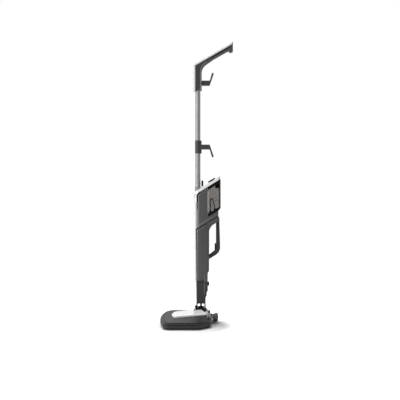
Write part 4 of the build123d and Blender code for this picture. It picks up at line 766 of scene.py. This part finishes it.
body_dark = moulded("body_plastic", body_tone, roughness=0.34, specular=0.45, coat=0.1)
rise = dark_foot_high - dark_foot_low
for side in sides:
    node = "body_shell_" + side
    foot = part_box(node)[0].z + foot_margin
    rounded(crowned(node, **body_crown), node, body_dark)
    # A darker skin in the neck's colour over the foot of the body, up to a slanted line.
    overlay(crowned(node, **body_crown), node, "dark_foot_" + side, [
        ((0, 0, foot), (0, 0, -1)),
        ((dark_foot_rear, 0, 0), (1, 0, 0)),
        (dark_foot_low, (-rise.z, 0, rise.x)),
    ], neck_dark)
    # Painted highlight: a pale line up the foot of the body.
    upright_line(crowned(node, **body_crown), node, "foot_line_" + side, foot, foot_line_top)
    # Painted shadow: a black strip just below the seam; painted highlight: a grey strip a little lower.
    shape = crowned(node, **body_crown)
    seam_line(shape, node, "seam_shadow_" + side, seam_shadow_band, halves_rear, joint_black)
    shape = crowned(node, **body_crown)
    seam_line(shape, node, "seam_line_" + side, line_band, halves_rear, highlight_line_grey)

shape = merged_copy("rear_shoulder")
shoulder_front = min(vertex.co.x for vertex in shape.verts)
for vertex in shape.verts:
    vertex.co.y *= shoulder_tuck
    if vertex.co.x < shoulder_front + mould_edge:
        on_seam = vertex.co.z > seam_foot
        vertex.co.x -= shoulder_reach
        vertex.co.z += -shoulder_reach * seam_slope if on_seam else arch_rise
rounded(shape, "rear_shoulder", body_dark)
# The same painted shadow and painted highlight along the seam on the shoulder.
shape = merged_copy("rear_shoulder")
seam_line(shape, "rear_shoulder", "shoulder_seam_shadow", seam_shadow_band, shoulder_rear, joint_black)
shape = merged_copy("rear_shoulder")
seam_line(shape, "rear_shoulder", "shoulder_line", line_band, shoulder_rear, highlight_line_grey)

paint(neck_dark, "body_spigot")
brass = bright_metal("turned_brass", brass_tone, roughness=0.3, waves=900.0, stretch=(1, 1, 0.05))
paint(brass, "steam_nozzle")
paint(bright_metal("cast_aluminium", cast_tone, roughness=0.5, waves=300.0), "boiler")
paint(moulded("pump_plastic", pump_tone, roughness=0.45), "pump")
paint(black_rubber, "cord_gland", "water_hose")
paint(steel, "body_screws")


# Carry handle and trigger
# A loop of dark grained plastic behind the body. The black trigger slides in a pocket in its inner
# side and works a small switch.
handle_edge = 0.001
handle_tone = (0.014, 0.014, 0.0143, 1)
handle_dark = moulded("carry_handle_plastic", handle_tone, roughness=0.45, specular=0.3)
softened("carry_handle", handle_dark, handle_edge)
softened("trigger", joint_black)
paint(joint_black, "micro_switch")


# White spine
# One long channel of glossy white plastic over the front of the body and of the housing above it. Its
# upper end meets the skirt of the top cover, which has the same section.
trim_edge = 0.0006
softened("front_spine", white_gloss, trim_edge)


# Upper housing
# The dark shell above the slanted seam, with the seat and the bay for the water tank and a pale strip
# in front of the bay, a painted highlight. The control board stands on posts inside it.
housing_tone = (0.041, 0.041, 0.0422, 1)
bay_highlight_tone = (0.285, 0.249, 0.24, 1)
board_tone = (0.02, 0.11, 0.05, 1)
housing_crown = {"front": -0.0185, "end": 0.02, "taper": 0.1}
upper_band = (0.0064, 0.0096)
housing_rear = 0.071
bay_front = 0.0268
bay_edge = 0.0324
bay_low = 0.4378
bay_high = 0.534
housing_dark = moulded("housing_plastic", housing_tone, roughness=0.34, specular=0.45, coat=0.1)
rounded(crowned("upper_housing", **housing_crown), "upper_housing", housing_dark)
# Painted highlight: a pale line just above the seam.
shape = crowned("upper_housing", **housing_crown)
seam_line(shape, "upper_housing", "seam_line_upper", upper_band, housing_rear, highlight_line_grey)
# Painted highlight: a pale skin on the sides just in front of the bay.
overlay(crowned("upper_housing", **housing_crown), "upper_housing", "bay_edge_highlight", [
    ((bay_front, 0, 0), (-1, 0, 0)),
    ((bay_edge, 0, 0), (1, 0, 0)),
    ((0, 0, bay_low), -seam_up),
    ((0, 0, bay_high), seam_up),
], moulded("bay_edge_highlight", bay_highlight_tone, roughness=0.4, wear_and_sheen=0.0))
paint(black_rubber, "valve_seat")
paint(moulded("board_green", board_tone, roughness=0.4), "control_board")


# Top cover
# A glossy white cap along the slant of the top, with a skirt that meets the spine. It carries the
# tube's release button, the latch that holds the tank and the grey collar that takes the tube.
button_tone = (0.006, 0.006, 0.0062, 1)
collar_tone = (0.21, 0.21, 0.213, 1)
deck_up = Vector((-0.5225, 0, 0.8526))
latch_rise = 0.0016
button_black = moulded("button_black", button_tone, roughness=0.7, specular=0.06)
softened("top_cover", white_gloss, trim_edge)
softened("tube_release_button", button_black)
shape = merged_copy("tank_latch")
bmesh.ops.translate(shape, vec=deck_up * latch_rise, verts=shape.verts)
rounded(shape, "tank_latch", button_black)
softened("tube_socket", moulded("collar_grey", collar_tone, roughness=0.38))


# Water tank
# A smoked clear shell with a dark lid, a dark back and a rubber filling plug. A black gasket lies on
# its floor, and a thin hose runs in a loop between two fittings.
tank_edge = 0.0006
smoke_tint = (0.66, 0.651, 0.643, 1)
smoke_skin = (0.13, 0.127, 0.125, 1)
lid_tone = (0.004, 0.004, 0.0042, 1)
hose_tone = (0.85, 0.76, 0.72, 1)
floor_zero = 0.431
gasket_front = 0.0326
gasket_rear = 0.0733
gasket_half = 0.0369
gasket_height = 0.0058
foot_high = 0.4378


def prism(points, half):
    """A solid with a side outline of x and z, as wide on both sides of the middle."""
    shape = bmesh.new()
    outline = shape.faces.new([shape.verts.new((x, -half, z)) for x, z in points])
    moved = bmesh.ops.extrude_face_region(shape, geom=[outline])["geom"]
    ends = [part for part in moved if isinstance(part, bmesh.types.BMVert)]
    bmesh.ops.translate(shape, vec=(0, 2 * half, 0), verts=ends)
    bmesh.ops.recalc_face_normals(shape, faces=shape.faces)
    bmesh.ops.bevel(
        shape,
        geom=shape.edges[:],
        offset=mould_edge / 2,
        segments=2,
        profile=0.5,
        affect="EDGES",
        material=-1,
    )
    return shape


def floor_at(x):
    """Height of the inside of the slanted tank floor."""
    return floor_zero + x * seam_slope


smoke, root = new_finish("smoked_clear")
clouds = grain(root, waves=12.0).step(0.3, 0.7)
facing = root.node("ShaderNodeLayerWeight", {}, {"Blend": 0.5}).out("Facing")
clear = root.node("ShaderNodeBsdfTransparent", {}, {"Color": smoke_tint})
skin = root.node("ShaderNodeBsdfPrincipled", {}, {
    "Base Color": smoke_skin,
    "Roughness": 0.2 + clouds * 0.08,
    "Specular IOR Level": 0.25,
})
skin_share = 0.02 + clouds * 0.02 + root.math("POWER", facing, 4.0) * 0.3
film = root.node("ShaderNodeMixShader", {}, {0: skin_share, 1: clear, 2: skin})
root.node("ShaderNodeOutputMaterial", {}, {"Surface": film})
softened("tank_shell", smoke, tank_edge)
softened("tank_lid", moulded("lid_plastic", lid_tone, roughness=0.6, specular=0.08))
softened("tank_back", handle_dark)
softened("tank_plug", black_rubber)
paint(black_rubber, "hose_barbs")
paint(joint_black, "tank_outlet")
paint(rubber("tank_hose", hose_tone), "hose_loop")
gasket = prism([
    (gasket_front, floor_at(gasket_front)),
    (gasket_rear, floor_at(gasket_rear)),
    (gasket_rear, floor_at(gasket_rear) + gasket_height),
    (gasket_front, floor_at(gasket_front) + gasket_height),
], gasket_half)
add_piece(gasket, "tank_gasket", black_rubber, "tank")
overlay(merged_copy("tank_shell"), "tank_shell", "tank_foot", [
    ((0, 0, foot_high), seam_up),
], joint_black)


# Tube
# A straight tube of satin silver aluminium that stands in the collar of the top cover. A sleeve
# pinned on it carries the lower cord hook.
tube_tone = (0.235, 0.235, 0.237, 1)
hook_tone = (0.022, 0.022, 0.0226, 1)
drawn_along = (1, 1, 0.02)
tube_metal = bright_metal("satin_tube", tube_tone, roughness=0.42, waves=900.0, stretch=drawn_along)
paint(tube_metal, "tube")
hook_dark = moulded("hook_plastic", hook_tone, roughness=0.45)
softened("lower_hook", hook_dark)


# Top handle
# Two dark halves clamp the tube and run on as the grip, under a glossy white cover. A soft insert
# lines the inside, and the upper hook turns on its own pin to let the cord go.
core_tone = (0.0225, 0.0225, 0.023, 1)
insert_pale = (0.14, 0.14, 0.141, 1)
insert_dark = (0.062, 0.062, 0.063, 1)
cap_pale = (0.19, 0.19, 0.192, 1)
bend_x = 0.044
bend_z = 1.0507
pale_depth = 0.0435
pale_end = 0.022
arm_up = Vector((-0.5, 0, 0.866))
slim = 0.0035
slim_start = 0.02
slim_full = 0.055
slim_fade = 0.112
slim_end = 0.122
cap_tip = 1.165
core_dark = moulded("handle_plastic", core_tone, roughness=0.42)
for side in sides:
    softened("handle_" + side, core_dark)
softened("handle_cover", white_gloss, handle_edge)

soft_insert, root = new_finish("soft_insert")
across = bend_x - place_along(root, "X")
above = root.math("MAXIMUM", place_along(root, "Z") - bend_z, 0.0)
depth = root.math("SQRT", across * across + above * above)
pale_band = past(depth, pale_depth) * (1 - past(place_along(root, "X"), pale_end))
fine = grain(root, waves=900.0, detail=3.0)
surface(root, {
    "Base Color": (pale_band * (0.9 + fine * 0.2)).colour(insert_dark, insert_pale),
    "Roughness": 0.72 + (fine - 0.5) * 0.16,
    "Specular IOR Level": 0.3,
    "Normal": relief(root, fine, depth=0.00008),
})
shape = merged_copy("grip_insert")
for x in (slim_start, slim_full, slim_fade, slim_end):
    cut(shape, (x, 0, 0), (1, 0, 0))
for vertex in shape.verts:
    rise = way_along(vertex.co.x, slim_start, slim_full)
    fall = way_along(vertex.co.x, slim_end, slim_fade)
    vertex.co += arm_up * slim * rise * fall
rounded(shape, "grip_insert", soft_insert)

cap_finish, root = new_finish("end_cap_plastic")
fine = grain(root, fine_waves)
tip = past(place_along(root, "Z"), cap_tip)
surface(root, {
    "Base Color": (tip * (0.9 + fine * 0.2)).colour(hook_tone, cap_pale),
    "Roughness": 0.45 + (fine - 0.5) * 0.12,
    "Specular IOR Level": 0.35,
    "Normal": relief(root, fine, depth=0.00006),
})
softened("end_cap", cap_finish)
softened("upper_hook", hook_dark)
